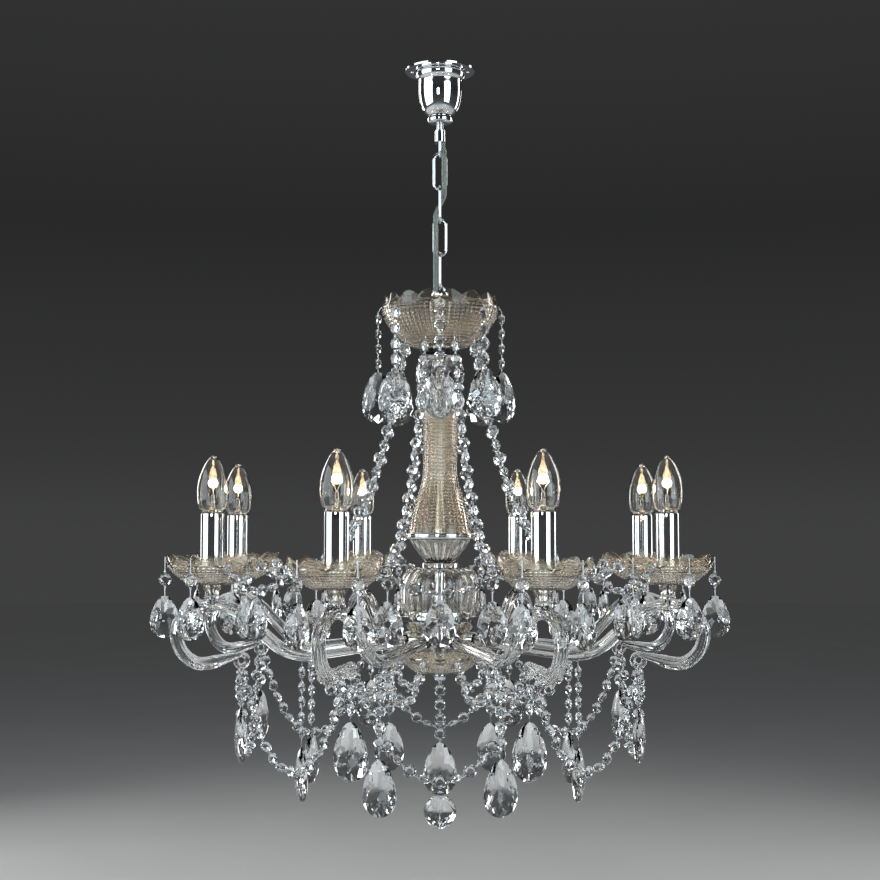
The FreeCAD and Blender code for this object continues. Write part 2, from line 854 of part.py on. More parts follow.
def make_fluted_cone():
    """The cone under the ring, narrowing to a round foot."""
    top = ring_plate_bottom
    height = dims.cone_height
    outer = [
        (dims.cone_radius, top),
        (dims.cone_radius - 3.0, top - height * 0.2),
        (dims.cone_neck, top - height * 0.76),
        (dims.cone_foot, top - height * 0.84),
        (dims.cone_foot, cone_bottom),
    ]
    inner = [
        (stem_hole, cone_bottom),
        (stem_hole, top - height * 0.8),
        (dims.cone_neck - dims.column_wall, top - height * 0.7),
        (dims.cone_radius - dims.column_wall, top),
    ]
    return turned("fluted_cone", outer + inner)


def make_glass_bell():
    """The bell round the stem above the arms, open below."""
    top = cone_bottom
    wall = dims.bell_wall
    profile = [(0.44, 0.0), (0.7, 0.02), (0.84, 0.1), (0.94, 0.25), (1.0, 0.64), (0.965, 1.0)]
    outer = [(dims.bell_radius * out, top - dims.bell_height * down) for out, down in profile]
    inner = [(radius - wall, height) for radius, height in reversed(outer[2:])]
    crown = [
        (outer[1][0] - wall / 2, top - wall),
        (stem_hole, top - wall),
        (stem_hole, top),
    ]
    return turned("glass_bell", outer + inner + crown)


def make_hub_drum():
    """The polished drum in the bell's mouth, with the neck that holds the bell up."""
    crown = cone_bottom - dims.bell_wall
    corners = [
        (dims.drum_neck, crown),
        (dims.drum_neck, drum_top),
        (dims.drum_radius - 1.0, drum_top),
        (dims.drum_radius, drum_top - 1.0),
        (dims.drum_radius, drum_bottom + dims.drum_height * 0.38),
        (dims.drum_foot, drum_bottom),
        (stem_hole, drum_bottom),
        (stem_hole, crown),
    ]
    return turned("hub_drum", corners)


def make_hub_cup():
    """The small scalloped glass cup round the foot of the drum."""
    corners = bowl_corners(
        dims.hub_cup_radius, dims.hub_cup_floor_radius, dims.hub_cup_height, hub_cup_bottom,
        dims.hub_cup_wall, dims.hub_cup_floor, stem_hole, CUP_SHAPE,
    )
    body = turned("hub_cup", corners)
    rim = hub_cup_bottom + dims.hub_cup_height
    scallop(body, dims.hub_cup_radius, rim, dims.hub_cup_scallop_depth, dims.dish_scallops)
    return body


def level_cylinder(radius, start, end, height):
    """A cylinder that lies along +X between two distances from the axis."""
    return Part.makeCylinder(radius, end - start, Vector(start, 0, height), Vector(1, 0, 0))


def make_arm_hub():
    """The metal hub that the arms plug into, one level socket for each."""
    middle = arm_height.value
    outer = socket_outer.value
    inner = outer - amount("socket_wall")
    reach = amount("socket_reach")
    start = amount("arm_start") - amount("fit_gap")
    hub = Part.makeCylinder(amount("arm_hub_radius"), 2 * outer, Vector(0, 0, middle - outer))
    neck_bottom = bottom_dish_bottom.value + amount("dish_wall")
    neck_height = middle - outer - neck_bottom
    neck = Part.makeCylinder(amount("arm_hub_neck"), neck_height, Vector(0, 0, neck_bottom))
    top = hub_cup_bottom.value
    seat = Part.makeCylinder(amount("arm_hub_neck"), top - middle, Vector(0, 0, middle))
    sockets = turned_copies(level_cylinder(outer, 10.0, reach, middle), ARMS)
    bores = turned_copies(level_cylinder(inner, start, reach + 1.0, middle), ARMS)
    bore_height = top - neck_bottom
    bores.append(Part.makeCylinder(stem_hole.value, bore_height, Vector(0, 0, neck_bottom)))
    return feature("arm_hub", hub.fuse([neck, seat] + sockets).cut(bores).removeSplitter())


def make_bottom_dish():
    """The scalloped dish under the hub."""
    corners = bowl_corners(
        dims.dish_radius, dims.dish_floor_radius, dims.bottom_dish_height, bottom_dish_bottom,
        dims.dish_wall, dims.dish_wall, stem_hole, DISH_SHAPE,
    )
    body = turned("bottom_dish", corners)
    scallop(body, dims.dish_radius, bottom_dish_rim, dims.dish_scallop_depth, dims.dish_scallops)
    return body


def make_finial():
    """The bell cap under the bottom dish, with the eye for the centre drop inside its skirt."""
    top = bottom_dish_bottom.value
    web_top = stem_bottom.value
    web = finial_web.value
    bottom = finial_bottom.value
    outer = amount("finial_radius")
    mouth = outer - amount("finial_wall") / 2
    cap = local_solid([
        (stem_hole.value, top), (outer, top), (outer, web), (mouth, bottom),
        (mouth - amount("finial_wall"), bottom), (mouth - amount("finial_wall"), web), (0.0, web),
        (0.0, web_top), (stem_hole.value, web_top),
    ])
    middle = eye_wire_height.value + amount("eye_radius")
    eye = ring_solid(amount("eye_radius"), amount("eye_wire"), middle, 90)
    return feature("bottom_finial", cap.fuse(eye))


# ---------------------------------------------------------------------------------------------
# Arms and candles
# ---------------------------------------------------------------------------------------------

def walk(start, steps):
    """Lines and tangent arcs in the XZ plane, beginning level.

    A step of one number is a straight length. A step of two is a bend's radius and its turn
    in degrees, upward when positive. It returns the edges and a mark (x, z, heading) at each
    end.
    """
    x, z = start
    heading = 0.0
    edges = []
    marks = [(x, z, heading)]
    for step in steps:
        if len(step) == 1:
            end = Vector(x + step[0] * math.cos(heading), 0, z + step[0] * math.sin(heading))
            edges.append(Part.LineSegment(Vector(x, 0, z), end).toShape())
        else:
            turn = math.radians(step[1])
            radius = math.copysign(step[0], turn)
            centre_x = x - radius * math.sin(heading)
            centre_z = z + radius * math.cos(heading)

            def at(angle):
                away = heading + angle
                return Vector(centre_x + radius * math.sin(away), 0, centre_z - radius * math.cos(away))

            middle = at(turn / 2)
            end = at(turn)
            edges.append(Part.Arc(Vector(x, 0, z), middle, end).toShape())
            heading += turn
        x, z = end.x, end.z
        marks.append((x, z, heading))
    return edges, marks


def arm_steps(run):
    """The bends of an arm, from the hub out: the dip, the crest under the candle, the scroll."""
    climb = amount("arm_climb")
    fall = amount("arm_fall")
    rise = amount("arm_tail_rise")
    return [
        (amount("arm_level"),),
        (amount("arm_fall_radius"), -fall),
        (run,),
        (amount("arm_dip_radius"), fall + climb),
        (amount("arm_climb_length"),),
        (amount("arm_crest_radius"), -climb),
        (amount("arm_shoulder_radius"), -50.0),
        (amount("arm_side_radius"), -40.0),
        (amount("arm_belly_radius"), -60.0),
        (amount("arm_heel_radius"), -30.0),
        (amount("arm_tail_radius"), -rise),
        (amount("arm_taper"),),
        (amount("arm_scroll_radius") * 2, rise),
        (amount("arm_scroll_radius"), amount("arm_scroll_turn")),
    ]


CREST = 6
TAPER = 11
arm_origin = (amount("arm_start"), arm_height.value)


def solve_arm_run():
    """The straight run that brings an arm's crest under the candle."""
    _, marks = walk(arm_origin, arm_steps(1.0))
    missing = amount("candle_circle") - marks[CREST][0]
    return 1.0 + missing / math.cos(math.radians(amount("arm_fall")))


arm_edges, arm_marks = walk(arm_origin, arm_steps(solve_arm_run()))
crest_height = arm_marks[CREST][1]
scroll_start = arm_marks[13]
scroll_middle = (scroll_start[0], scroll_start[1] - amount("arm_scroll_radius"))


def disc_at(mark, radius):
    """A disc square to the arm at one of its marks."""
    x, z, heading = mark
    direction = Vector(math.cos(heading), 0, math.sin(heading))
    return Part.Face(Part.Wire([Part.Circle(Vector(x, 0, z), direction, radius).toShape()]))


def arm_solid():
    """One glass arm along +X: a tube bored as far as the candle, tapering into a scroll."""
    radius = amount("arm_radius")
    tip = amount("arm_tip_radius")
    bore_radius = amount("arm_bore")
    main = Part.Wire(arm_edges[:TAPER]).makePipe(disc_at(arm_marks[0], radius))
    x, z, heading = arm_marks[TAPER]
    direction = Vector(math.cos(heading), 0, math.sin(heading))
    taper = Part.makeCone(radius, tip, amount("arm_taper"), Vector(x, 0, z), direction)
    scroll = Part.Wire(arm_edges[TAPER + 1:]).makePipe(disc_at(arm_marks[TAPER + 1], tip))
    bore = Part.Wire(arm_edges[:CREST]).makePipe(disc_at(arm_marks[0], bore_radius))
    x, z, heading = arm_marks[CREST]
    riser = Part.makeCylinder(bore_radius, radius * 2, Vector(x, 0, z))
    return main.fuse([taper, scroll]).cut([bore, riser])


candle_place = Vector(amount("candle_circle"), 0, 0)
cup_base = crest_height + amount("arm_radius") + amount("fit_gap")
dish_bottom = cup_base + amount("candle_cup_height")
sleeve_bottom = dish_bottom + amount("dish_wall")
sleeve_top = sleeve_bottom + amount("sleeve_height")
pin_hole = amount("holder_pin") + amount("fit_gap")


def candle_cup_solid():
    """The small glass cup that stands on an arm's crest."""
    neck = amount("candle_cup_neck")
    rim = amount("candle_cup_radius")
    height = amount("candle_cup_height")
    return local_solid([
        (pin_hole, cup_base), (neck, cup_base), (neck - 1.0, cup_base + height * 0.35),
        (rim, cup_base + height * 0.9), (rim, dish_bottom), (pin_hole, dish_bottom),
    ])


def sleeve_solid():
    """The polished tube that stands in a dish as the candle."""
    outer = amount("sleeve_radius")
    inner = outer - amount("sleeve_wall")
    return local_solid([
        (inner, sleeve_bottom), (outer, sleeve_bottom), (outer, sleeve_top), (inner, sleeve_top),
    ])


def holder_solid():
    """The lampholder inside a sleeve, on its threaded pin."""
    pin = amount("holder_pin")
    body = amount("holder_radius")
    flange = amount("sleeve_radius") - amount("sleeve_wall") - amount("fit_gap")
    socket = amount("socket_radius")
    body_bottom = sleeve_top - amount("holder_height")
    floor = sleeve_top - amount("socket_depth")
    return local_solid([
        (0.0, crest_height), (pin, crest_height), (pin, body_bottom), (body, body_bottom),
        (body, sleeve_top - 3.0), (flange, sleeve_top - 3.0), (flange, sleeve_top),
        (socket, sleeve_top), (socket, floor), (0.0, floor),
    ])


def bulb_solid():
    """A candle lamp: its screw cap in the lampholder and its thin glass above."""
    cap = amount("cap_radius")
    widest = amount("bulb_radius")
    height = amount("bulb_height")
    wall = amount("bulb_wall")
    base = sleeve_top + amount("fit_gap")
    cap_bottom = sleeve_top - amount("socket_depth") + amount("fit_gap")
    screw_cap = local_solid([
        (0.0, cap_bottom), (cap * 0.6, cap_bottom), (cap, cap_bottom + 4.0), (cap, base), (0.0, base),
    ])
    profile = [
        (0.4, 0.0), (0.68, 0.08), (0.92, 0.2), (1.0, 0.34), (0.95, 0.5), (0.73, 0.69),
        (0.44, 0.85), (0.18, 0.96), (0.0, 1.0),
    ]
    outer = [(widest * out, base + height * up) for out, up in profile]
    inner = [(max(radius - wall, 0.0), level) for radius, level in reversed(outer[1:-1])]
    top = (0.0, outer[-1][1] - 4 * wall)
    inner = [top] + inner + [(0.0, base + wall), ]
    glass = local_solid([(0.0, base)] + outer + inner[:-1] + [(outer[0][0] - wall, base + wall), (0.0, base + wall)])
    return Part.makeCompound([screw_cap, glass])


def make_candles():
    """The cups, dishes, sleeves and lampholders as groups, and each bulb on its own."""
    pieces = []
    parts = (
        ("candle_cups", candle_cup_solid()),
        ("candle_sleeves", sleeve_solid()),
        ("lampholders", holder_solid()),
    )
    for label, solid in parts:
        solid.translate(candle_place)
        pieces.append(feature(label, Part.makeCompound(turned_copies(solid, ARMS))))
    corners = bowl_corners(
        dims.dish_radius, dims.dish_floor_radius, dims.dish_height, as_size(0), dims.dish_wall,
        dims.dish_wall, dims.holder_pin + dims.fit_gap, DISH_SHAPE,
    )
    master = turned("dish_master", corners)
    scallop(master, dims.dish_radius, dims.dish_height, dims.dish_scallop_depth, dims.dish_scallops)
    dishes = []
    for index in range(ARMS):
        dish = master.Shape.copy()
        dish.rotate(Vector(0, 0, 0), Vector(0, 0, 1), dish_turn(index))
        dish.translate(candle_place + Vector(0, 0, dish_bottom))
        dishes.append(at_arm(dish, index, ARMS))
    pieces.append(feature("candle_dishes", Part.makeCompound(dishes)))
    bulb = bulb_solid()
    bulb.translate(candle_place)
    for index in range(ARMS):
        pieces.append(feature("bulb_%d" % (index + 1), at_arm(bulb, index, ARMS)))
    return pieces


def make_arms():
    """One glass arm for each candle."""
    arm = arm_solid()
    pieces = []
    for index in range(ARMS):
        pieces.append(feature("glass_arm_%d" % (index + 1), at_arm(arm, index, ARMS)))
    return pieces


# ---------------------------------------------------------------------------------------------
# Crystals
# ---------------------------------------------------------------------------------------------

def cut_stone(rings):
    """A closed stone with flat faces through rings of points, one face over each side."""
    faces = []
    count = len(rings[0])
    for lower, upper in zip(rings, rings[1:]):
        for index in range(count):
            after = (index + 1) % count
            corners = [lower[index], lower[after], upper[after], upper[index], lower[index]]
            faces.append(Part.Face(Part.makePolygon(corners)))
    for ring in (rings[0], rings[-1]):
        faces.append(Part.Face(Part.makePolygon(ring + ring[:1])))
    stone = Part.makeSolid(Part.makeShell(faces))
    if stone.Volume < 0:
        stone.reverse()
    return stone


def scaled(ring, share, y):
    """A ring made smaller about its middle and moved along Y."""
    return [Vector(point.x * share, y, point.z * share) for point in ring]


def octagon_bead():
    """An eight-sided bead with its two eyelets, hung along Z, its face towards -Y."""
    half_width = amount("octagon_width") / 2
    half_length = (amount("bead_pitch") - amount("bead_gap")) / 2
    half_thick = amount("octagon_thickness") / 2
    girdle = []
    for index in range(8):
        angle = math.pi / 4 * index
        girdle.append(Vector(half_width * math.sin(angle), 0, half_length * math.cos(angle)))
    return cut_stone([scaled(girdle, 0.5, -half_thick), girdle, scaled(girdle, 0.5, half_thick)])


def almond(length, width, thickness):
    """A pear-shaped drop with its eyelet at the origin, hanging down, face towards -Y."""
    girdle = []
    sides = 12
    for index in range(sides):
        angle = 2 * math.pi * index / sides
        spread = width / 2 * math.sin(angle) * (1 - 0.28 * math.cos(angle))
        girdle.append(Vector(spread, 0, length / 2 * math.cos(angle)))
    rings = [scaled(girdle, 0.5, -thickness / 2), girdle, scaled(girdle, 0.5, thickness / 2)]
    lower = Vector(0, 0, -length / 2)
    return cut_stone([[point + lower for point in ring] for ring in rings])


def crystal_ball(radius):
    """A faceted ball, cut in level rows, its top at the origin."""
    rings = []
    sides = 12
    rows = 8
    for row in range(1, rows):
        polar = math.pi * row / rows
        level = -radius * math.cos(polar)
        ring = []
        for index in range(sides):
            angle = 2 * math.pi * index / sides
            reach = radius * math.sin(polar)
            ring.append(Vector(reach * math.cos(angle), reach * math.sin(angle), level))
        rings.append(ring)
    ball = cut_stone(rings)
    ball.translate(Vector(0, 0, radius * math.cos(math.pi - math.pi / rows)))
    return ball


def wire_hook(length):
    """A straight piece of hook wire that hangs down from the origin."""
    wire = amount("hook_wire")
    return Part.makeBox(wire, wire, length, Vector(-wire / 2, -wire / 2, -length))


BEAD = octagon_bead()
BEAD_PITCH = amount("bead_pitch")
BEAD_GAP = amount("bead_gap")
ALMOND = almond(amount("almond_length"), amount("almond_width"), amount("almond_thickness"))
SMALL_ALMOND = almond(
    amount("small_almond_length"), amount("small_almond_width"), amount("small_almond_thickness"),
)


def direction(angle):
    """The level unit vector at an angle in degrees from +X."""
    return Vector(math.cos(math.radians(angle)), math.sin(math.radians(angle)), 0)


def wire_between(start, end):
    """A straight round wire from one place to another, a hair short at its ends."""
    way = (end - start).normalize()
    length = (end - start).Length - BEAD_GAP
    return Part.makeCylinder(amount("hook_wire") / 2, length, start, way)


def hung(stone, place, facing):
    """A copy of a stone at a place, its face turned to a level direction in degrees."""
    copy = stone.copy()
    copy.Placement = Placement(place, Rotation(Vector(0, 0, 1), facing + 90.0))
    return copy


def hanging(place, facing, parts):
    """Hooks, beads and one drop hung in a line; returns the stones."""
    stones = []
    level = place.z
    for kind, size in parts:
        spot = Vector(place.x, place.y, level)
        if kind == "hook":
            stones.append(hung(wire_hook(size - BEAD_GAP), spot, facing))
            level -= size
        elif kind == "beads":
            for index in range(size):
                middle = Vector(place.x, place.y, level - BEAD_PITCH * (index + 0.5))
                stones.append(hung(BEAD, middle, facing))
            level -= BEAD_PITCH * size
        else:
            stones.append(hung(size, spot, facing))
    return stones


def hanging_curve(start, end, length):
    """The line of a slack string: a function from the distance along it to (place, slope)."""
    level = Vector(end.x - start.x, end.y - start.y, 0)
    span = level.Length
    rise = end.z - start.z
    along = level.normalize()
    needed = math.sqrt(length * length - rise * rise) / span
    low, high = 1e-6, 20.0
    for _ in range(80):
        middle = (low + high) / 2
        if math.sinh(middle) / middle < needed:
            low = middle
        else:
            high = middle
    scale = span / (2 * low)
    lowest = span / 2 - scale * math.atanh(rise / length)
    before = scale * math.sinh(-lowest / scale)
    base = start.z - scale * math.cosh(-lowest / scale)

    def at(distance):
        stretch = before + distance
        out = lowest + scale * math.asinh(stretch / scale)
        place = start + along * out
        place.z = base + math.hypot(scale, stretch)
        return place, math.atan2(stretch, scale)

    return at, along


def swag(start, end, count, twist=True):
    """A string of beads that hangs between two places under its own weight."""
    length = BEAD_PITCH * count
    at, along = hanging_curve(start, end, length)
    yaw = math.degrees(math.atan2(along.y, along.x))
    stones = []
    for index in range(count):
        place, slope = at(BEAD_PITCH * (index + 0.5))
        quarter = 90.0 if twist and index % 2 and 0 < index < count - 1 else 0.0
        turn = Rotation(Vector(0, 0, 1), yaw)
        tilt = Rotation(Vector(0, 1, 0), 90.0 - math.degrees(slope))
        copy = BEAD.copy()
        copy.Placement = Placement(place, turn * tilt * Rotation(Vector(0, 0, 1), quarter))
        stones.append(copy)
    return stones, at


# How far each large almond under the top bowl has turned away from the front, in degrees.
STRAND_TWISTS = (0.0, 12.0, 35.0, -10.0, 6.0, 15.0, -14.0, -8.0)


def make_bowl_strands():
    """Eight short strands on hooks round the top bowl, each with a large almond."""
    hook_level = (bowl_bottom + dims.bowl_height - dims.bowl_hook_drop).value
    share = 1 - amount("bowl_hook_drop") / amount("bowl_height")
    wall = outer_radius("bowl_radius", "bowl_floor_radius", BOWL_SHAPE, share)
    hook_reach = wall + amount("hook_wire") / 2 + amount("fit_gap")
    reach = hook_reach + amount("bowl_hook_reach")
    top = hook_level - amount("bowl_hook_length")
    beads = int(amount("bowl_strand_beads"))
    stones = []
    for index in range(ARMS):
        angle = -90.0 + 360.0 / ARMS * index
        place = direction(angle) * reach + Vector(0, 0, top)
        hook_start = direction(angle) * hook_reach + Vector(0, 0, hook_level)
        stones.append(wire_between(hook_start, place))
        parts = [("beads", 1), ("hook", amount("bowl_strand_gap"))] * beads
        stones += hanging(place, angle, parts)
        drop = place - Vector(0, 0, (BEAD_PITCH + amount("bowl_strand_gap")) * beads)
        stones.append(hung(ALMOND, drop, -90.0 + STRAND_TWISTS[index % len(STRAND_TWISTS)]))
    return feature("bowl_strands", Part.makeCompound(stones))


def make_column_strands():
    """Long slack strands from under the top bowl to the inner side of each dish."""
    share = 0.15
    start_reach = outer_radius("bowl_radius", "bowl_floor_radius", BOWL_SHAPE, share)
    hook_level = bowl_bottom.value + amount("bowl_height") * share - amount("seat_gap")
    rim = outer_radius("dish_radius", "dish_floor_radius", DISH_SHAPE, amount("rim_share"))
    end_reach = amount("candle_circle") - rim - amount("seat_gap")
    end_level = dish_bottom + amount("dish_height") * amount("rim_share")
    count = int(amount("column_strand_beads"))
    stones = []
    for index in range(ARMS):
        out_from_axis = direction(arm_angle(index, ARMS))
        hook = out_from_axis * start_reach + Vector(0, 0, hook_level)
        start = hook - Vector(0, 0, amount("strand_hook"))
        end = out_from_axis * end_reach + Vector(0, 0, end_level)
        stones.append(wire_between(hook, start))
        stones += swag(start, end, count)[0]
    return feature("column_strands", Part.makeCompound(stones))


# Where the pendants hang round a dish, in degrees from the way its arm points.
PENDANT_PLACES = (-36.0, 36.0, 108.0, -144.0)


def dish_turn(index):
    """How far a dish is turned on its arm: one way on the right half, the other on the left."""
    return -amount("dish_turn") if index < ARMS / 2 else amount("dish_turn")


def make_dish_pendants():
    """Small almonds on wire hooks round each dish."""
    reach = amount("dish_radius") + amount("hook_wire") / 2 + amount("fit_gap")
    hook_top = dish_bottom + amount("dish_height") * 0.9
    stones = []
    for index in range(ARMS):
        angle = arm_angle(index, ARMS)
        candle = direction(angle) * amount("candle_circle")
        side = math.copysign(1.0, dish_turn(index))
        for number, place_angle in enumerate(PENDANT_PLACES):
            turn = side * place_angle + dish_turn(index)
            place = candle + direction(angle + turn) * reach + Vector(0, 0, hook_top)
            facing = angle + turn + (0.0 if number % 2 else 90.0)
            parts = [("hook", amount("pendant_hook")), ("beads", 1)]
            parts += [("hook", amount("almond_hook")), ("drop", SMALL_ALMOND)]
            stones += hanging(place, facing, parts)
    return feature("dish_pendants", Part.makeCompound(stones))


def make_dish_swags():
    """Swags from dish to dish, each with a small almond at its lowest point."""
    share = amount("rim_share")
    rim = outer_radius("dish_radius", "dish_floor_radius", DISH_SHAPE, share)
    reach = rim + amount("seat_gap")
    level = dish_bottom + amount("dish_height") * share
    count = int(amount("dish_swag_beads"))
    stones = []
    for index in range(ARMS):
        angle = arm_angle(index, ARMS)
        after = arm_angle(index + 1, ARMS)
        lift = Vector(0, 0, level)
        start = direction(angle) * amount("candle_circle") + direction(angle + 90.0) * reach + lift
        end = direction(after) * amount("candle_circle") + direction(after - 90.0) * reach + lift
        beads, at = swag(start, end, count)
        stones += beads
        middle, _ = at(BEAD_PITCH * count / 2)
        parts = [("hook", amount("short_hook")), ("drop", SMALL_ALMOND)]
        place = middle - Vector(0, 0, amount("seat_gap") * 2)
        stones += hanging(place, (angle + after) / 2, parts)
    return feature("dish_swags", Part.makeCompound(stones))


def arm_underside(reach):
    """The height of the arm's underside at a distance from the axis, along its dip."""
    axis = Part.Vertex(Vector(reach, 0, arm_height.value - 1000))
    line = Part.LineSegment(axis.Point, Vector(reach, 0, arm_height.value + 1000)).toShape()
    levels = [line.distToShape(edge)[1][0][0].z for edge in arm_edges[:4] if line.distToShape(edge)[0] < 1e-6]
    return min(levels) - amount("arm_radius")


def make_arm_drops():
    """A strand with a large almond under each arm's dip, and one under each scroll."""
    scroll_low = scroll_middle[1] - amount("arm_scroll_radius") - amount("arm_tip_radius")
    dip_low = arm_underside(amount("mid_drop_radius"))
    stones = []
    for index in range(ARMS):
        angle = arm_angle(index, ARMS)
        place = direction(angle) * scroll_middle[0] + Vector(0, 0, scroll_low - BEAD_GAP)
        parts = [("hook", amount("short_hook")), ("beads", int(amount("scroll_drop_beads")))]
        parts += [("hook", amount("short_hook")), ("drop", ALMOND)]
        stones += hanging(place, angle + 90.0, parts)[:-1]
        stones += hanging(place, angle, parts)[-1:]
        place = direction(angle) * amount("mid_drop_radius") + Vector(0, 0, dip_low - BEAD_GAP)
        parts = [("hook", amount("short_hook")), ("beads", int(amount("mid_drop_beads")))]
        parts += [("hook", amount("almond_hook")), ("drop", ALMOND)]
        stones += hanging(place, angle, parts)
    return feature("arm_drops", Part.makeCompound(stones))


def make_lower_swags():
    """Deep swags from scroll to scroll, and shallow ones from the bottom dish to each arm."""
    hook_side = amount("arm_tip_radius") + amount("hook_wire") / 2
    side = hook_side + amount("short_hook")
    hook_level = scroll_middle[1] - amount("arm_scroll_radius")
    level = hook_level - amount("short_hook") / 2
    share = 0.6
    dish_out = outer_radius("dish_radius", "dish_floor_radius", DISH_SHAPE, share) + amount("seat_gap")
    dish_level = bottom_dish_bottom.value + amount("bottom_dish_height") * share
    arm_reach = amount("mid_drop_radius") - 9.0
    arm_low = arm_underside(arm_reach) - amount("seat_gap")
    stones = []
    for index in range(ARMS):
        angle = arm_angle(index, ARMS)
        after = arm_angle(index + 1, ARMS)
        ends = []
        for arm, way in ((angle, angle + 90.0), (after, after - 90.0)):
            scroll = direction(arm) * scroll_middle[0]
            hook = scroll + direction(way) * hook_side + Vector(0, 0, hook_level)
            ends.append(scroll + direction(way) * side + Vector(0, 0, level))
            stones.append(wire_between(hook, ends[-1]))
        stones += swag(ends[0], ends[1], int(amount("scroll_swag_beads")))[0]
        start = direction(angle) * dish_out + Vector(0, 0, dish_level)
        end = direction(angle) * arm_reach + Vector(0, 0, arm_low)
        stones += swag(start, end, int(amount("hub_swag_beads")))[0]
    return feature("lower_swags", Part.makeCompound(stones))


def make_centre_drop():
    """The centre drop: a ring, beads, an almond and the faceted ball, free to swing."""
    wire = amount("eye_wire")
    radius = amount("eye_radius")
    ring_top = eye_wire_height.value + wire + amount("hinge_gap")
    ring_middle = ring_top - radius
    ring = ring_solid(radius, wire, ring_middle, 0)
    top = ring_middle - radius - wire / 2 - BEAD_GAP
    place = Vector(0, 0, top)
    parts = [("beads", int(amount("centre_drop_beads"))), ("hook", amount("close_hook"))]
    parts += [("drop", ALMOND)]
    stones = hanging(place, -90.0, parts)
    low = min(stone.BoundBox.ZMin for stone in stones)
    ball = crystal_ball(amount("crystal_ball_radius"))
    ball.translate(Vector(0, 0, low - BEAD_GAP))
    return feature("centre_drop", Part.makeCompound([ring] + stones + [ball]))


# ---------------------------------------------------------------------------------------------
# Build, check and write
# ---------------------------------------------------------------------------------------------

def build():
    """Make every piece, from the ceiling down."""
    pieces = [
        make_ceiling_plate(), make_flange(), make_canopy_cup(), make_canopy_bead(), make_nipple(),
        make_canopy_nut(), make_hook(), make_terminal_block(),
    ]
    pieces += [make_link(number) for number in range(1, int(amount("link_count")) + 1)]
    pieces += make_cable()
    pieces += [
        make_top_ring(), make_stem(), make_top_bowl(), make_bowl_collar(), make_glass_ball(),
        make_flared_collar(), make_baluster(), make_ring_plate(), make_fluted_cone(),
        make_glass_bell(), make_hub_drum(), make_hub_cup(), make_arm_hub(), make_bottom_dish(),
        make_finial(),
    ]
    pieces += make_arms()
    pieces += make_candles()
    pieces += [
        make_bowl_strands(), make_column_strands(), make_dish_pendants(), make_dish_swags(),
        make_arm_drops(), make_lower_swags(), make_centre_drop(),
    ]
    doc.recompute()
    return pieces


def check(pieces):
    """Stop if any object failed, or if a piece has no sound shape."""
    for item in doc.Objects:
        if "Invalid" in item.State or "Error" in item.State:
            raise RuntimeError("%s failed: %s" % (item.Name, item.State))
    for piece in pieces:
        shape = piece.Shape
        if shape.isNull() or not shape.isValid() or not shape.Solids or shape.Volume <= 0:
            raise RuntimeError("%s has no sound shape" % piece.Label)


def write(pieces):
    """Write one STEP file for each piece."""
    os.makedirs("parts", exist_ok=True)
    for piece in pieces:
        piece.Shape.exportStep("parts/%s.step" % piece.Label)


def report():
    """Print the heights that the joints and the mounts use."""
    for index in range(int(amount("link_count")) + 1):
        print("chain hinge %d at %.3f" % (index, hinge_height(index).value))
    print("centre drop hinge at %.3f" % eye_wire_height.value)
    print("candle circle %.3f, sleeve top %.3f, dish bottom %.3f" % (
        amount("candle_circle"), sleeve_top, dish_bottom))


pieces = build()
check(pieces)
write(pieces)
report()
print("%d pieces" % len(pieces))
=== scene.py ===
# %% [markdown]
# # A crystal chandelier, dressed
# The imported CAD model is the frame: it gives every piece its place and its size. This lesson
# dresses it. Each cell makes one family of pieces, in the order in which a fitter would hang
# them, and prints what it made.

# %% Load the frame
import json
import math

import bmesh
import bpy
import numpy as np
from mathutils import Matrix, Vector

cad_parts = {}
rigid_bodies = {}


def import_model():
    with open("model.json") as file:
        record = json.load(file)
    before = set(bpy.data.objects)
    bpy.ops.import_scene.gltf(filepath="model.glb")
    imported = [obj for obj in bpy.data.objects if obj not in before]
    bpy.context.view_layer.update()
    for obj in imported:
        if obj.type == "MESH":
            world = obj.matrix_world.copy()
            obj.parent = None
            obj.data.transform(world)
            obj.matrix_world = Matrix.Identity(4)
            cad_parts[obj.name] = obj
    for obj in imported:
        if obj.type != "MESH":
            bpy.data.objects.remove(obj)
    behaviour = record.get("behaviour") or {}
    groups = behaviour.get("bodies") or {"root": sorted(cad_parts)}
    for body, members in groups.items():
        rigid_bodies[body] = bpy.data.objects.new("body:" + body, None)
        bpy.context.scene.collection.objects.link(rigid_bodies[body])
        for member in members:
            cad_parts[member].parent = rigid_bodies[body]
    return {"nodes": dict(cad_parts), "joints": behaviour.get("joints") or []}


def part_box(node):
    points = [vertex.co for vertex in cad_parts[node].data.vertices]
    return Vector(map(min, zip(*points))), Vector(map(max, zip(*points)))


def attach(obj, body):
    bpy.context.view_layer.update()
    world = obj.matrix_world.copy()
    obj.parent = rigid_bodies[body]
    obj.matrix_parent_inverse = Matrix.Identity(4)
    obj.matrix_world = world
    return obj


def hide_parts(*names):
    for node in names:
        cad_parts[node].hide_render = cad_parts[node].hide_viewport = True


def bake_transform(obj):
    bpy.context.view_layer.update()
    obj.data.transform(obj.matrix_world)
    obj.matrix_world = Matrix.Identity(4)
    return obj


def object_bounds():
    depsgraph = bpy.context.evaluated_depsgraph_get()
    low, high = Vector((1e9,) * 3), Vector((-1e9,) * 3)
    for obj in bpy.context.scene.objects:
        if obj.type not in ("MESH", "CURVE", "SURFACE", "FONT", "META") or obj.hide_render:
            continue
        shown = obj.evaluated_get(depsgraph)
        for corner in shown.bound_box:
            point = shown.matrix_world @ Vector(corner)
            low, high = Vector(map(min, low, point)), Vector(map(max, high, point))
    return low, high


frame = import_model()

cad_low, cad_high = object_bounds()
MM = 0.001

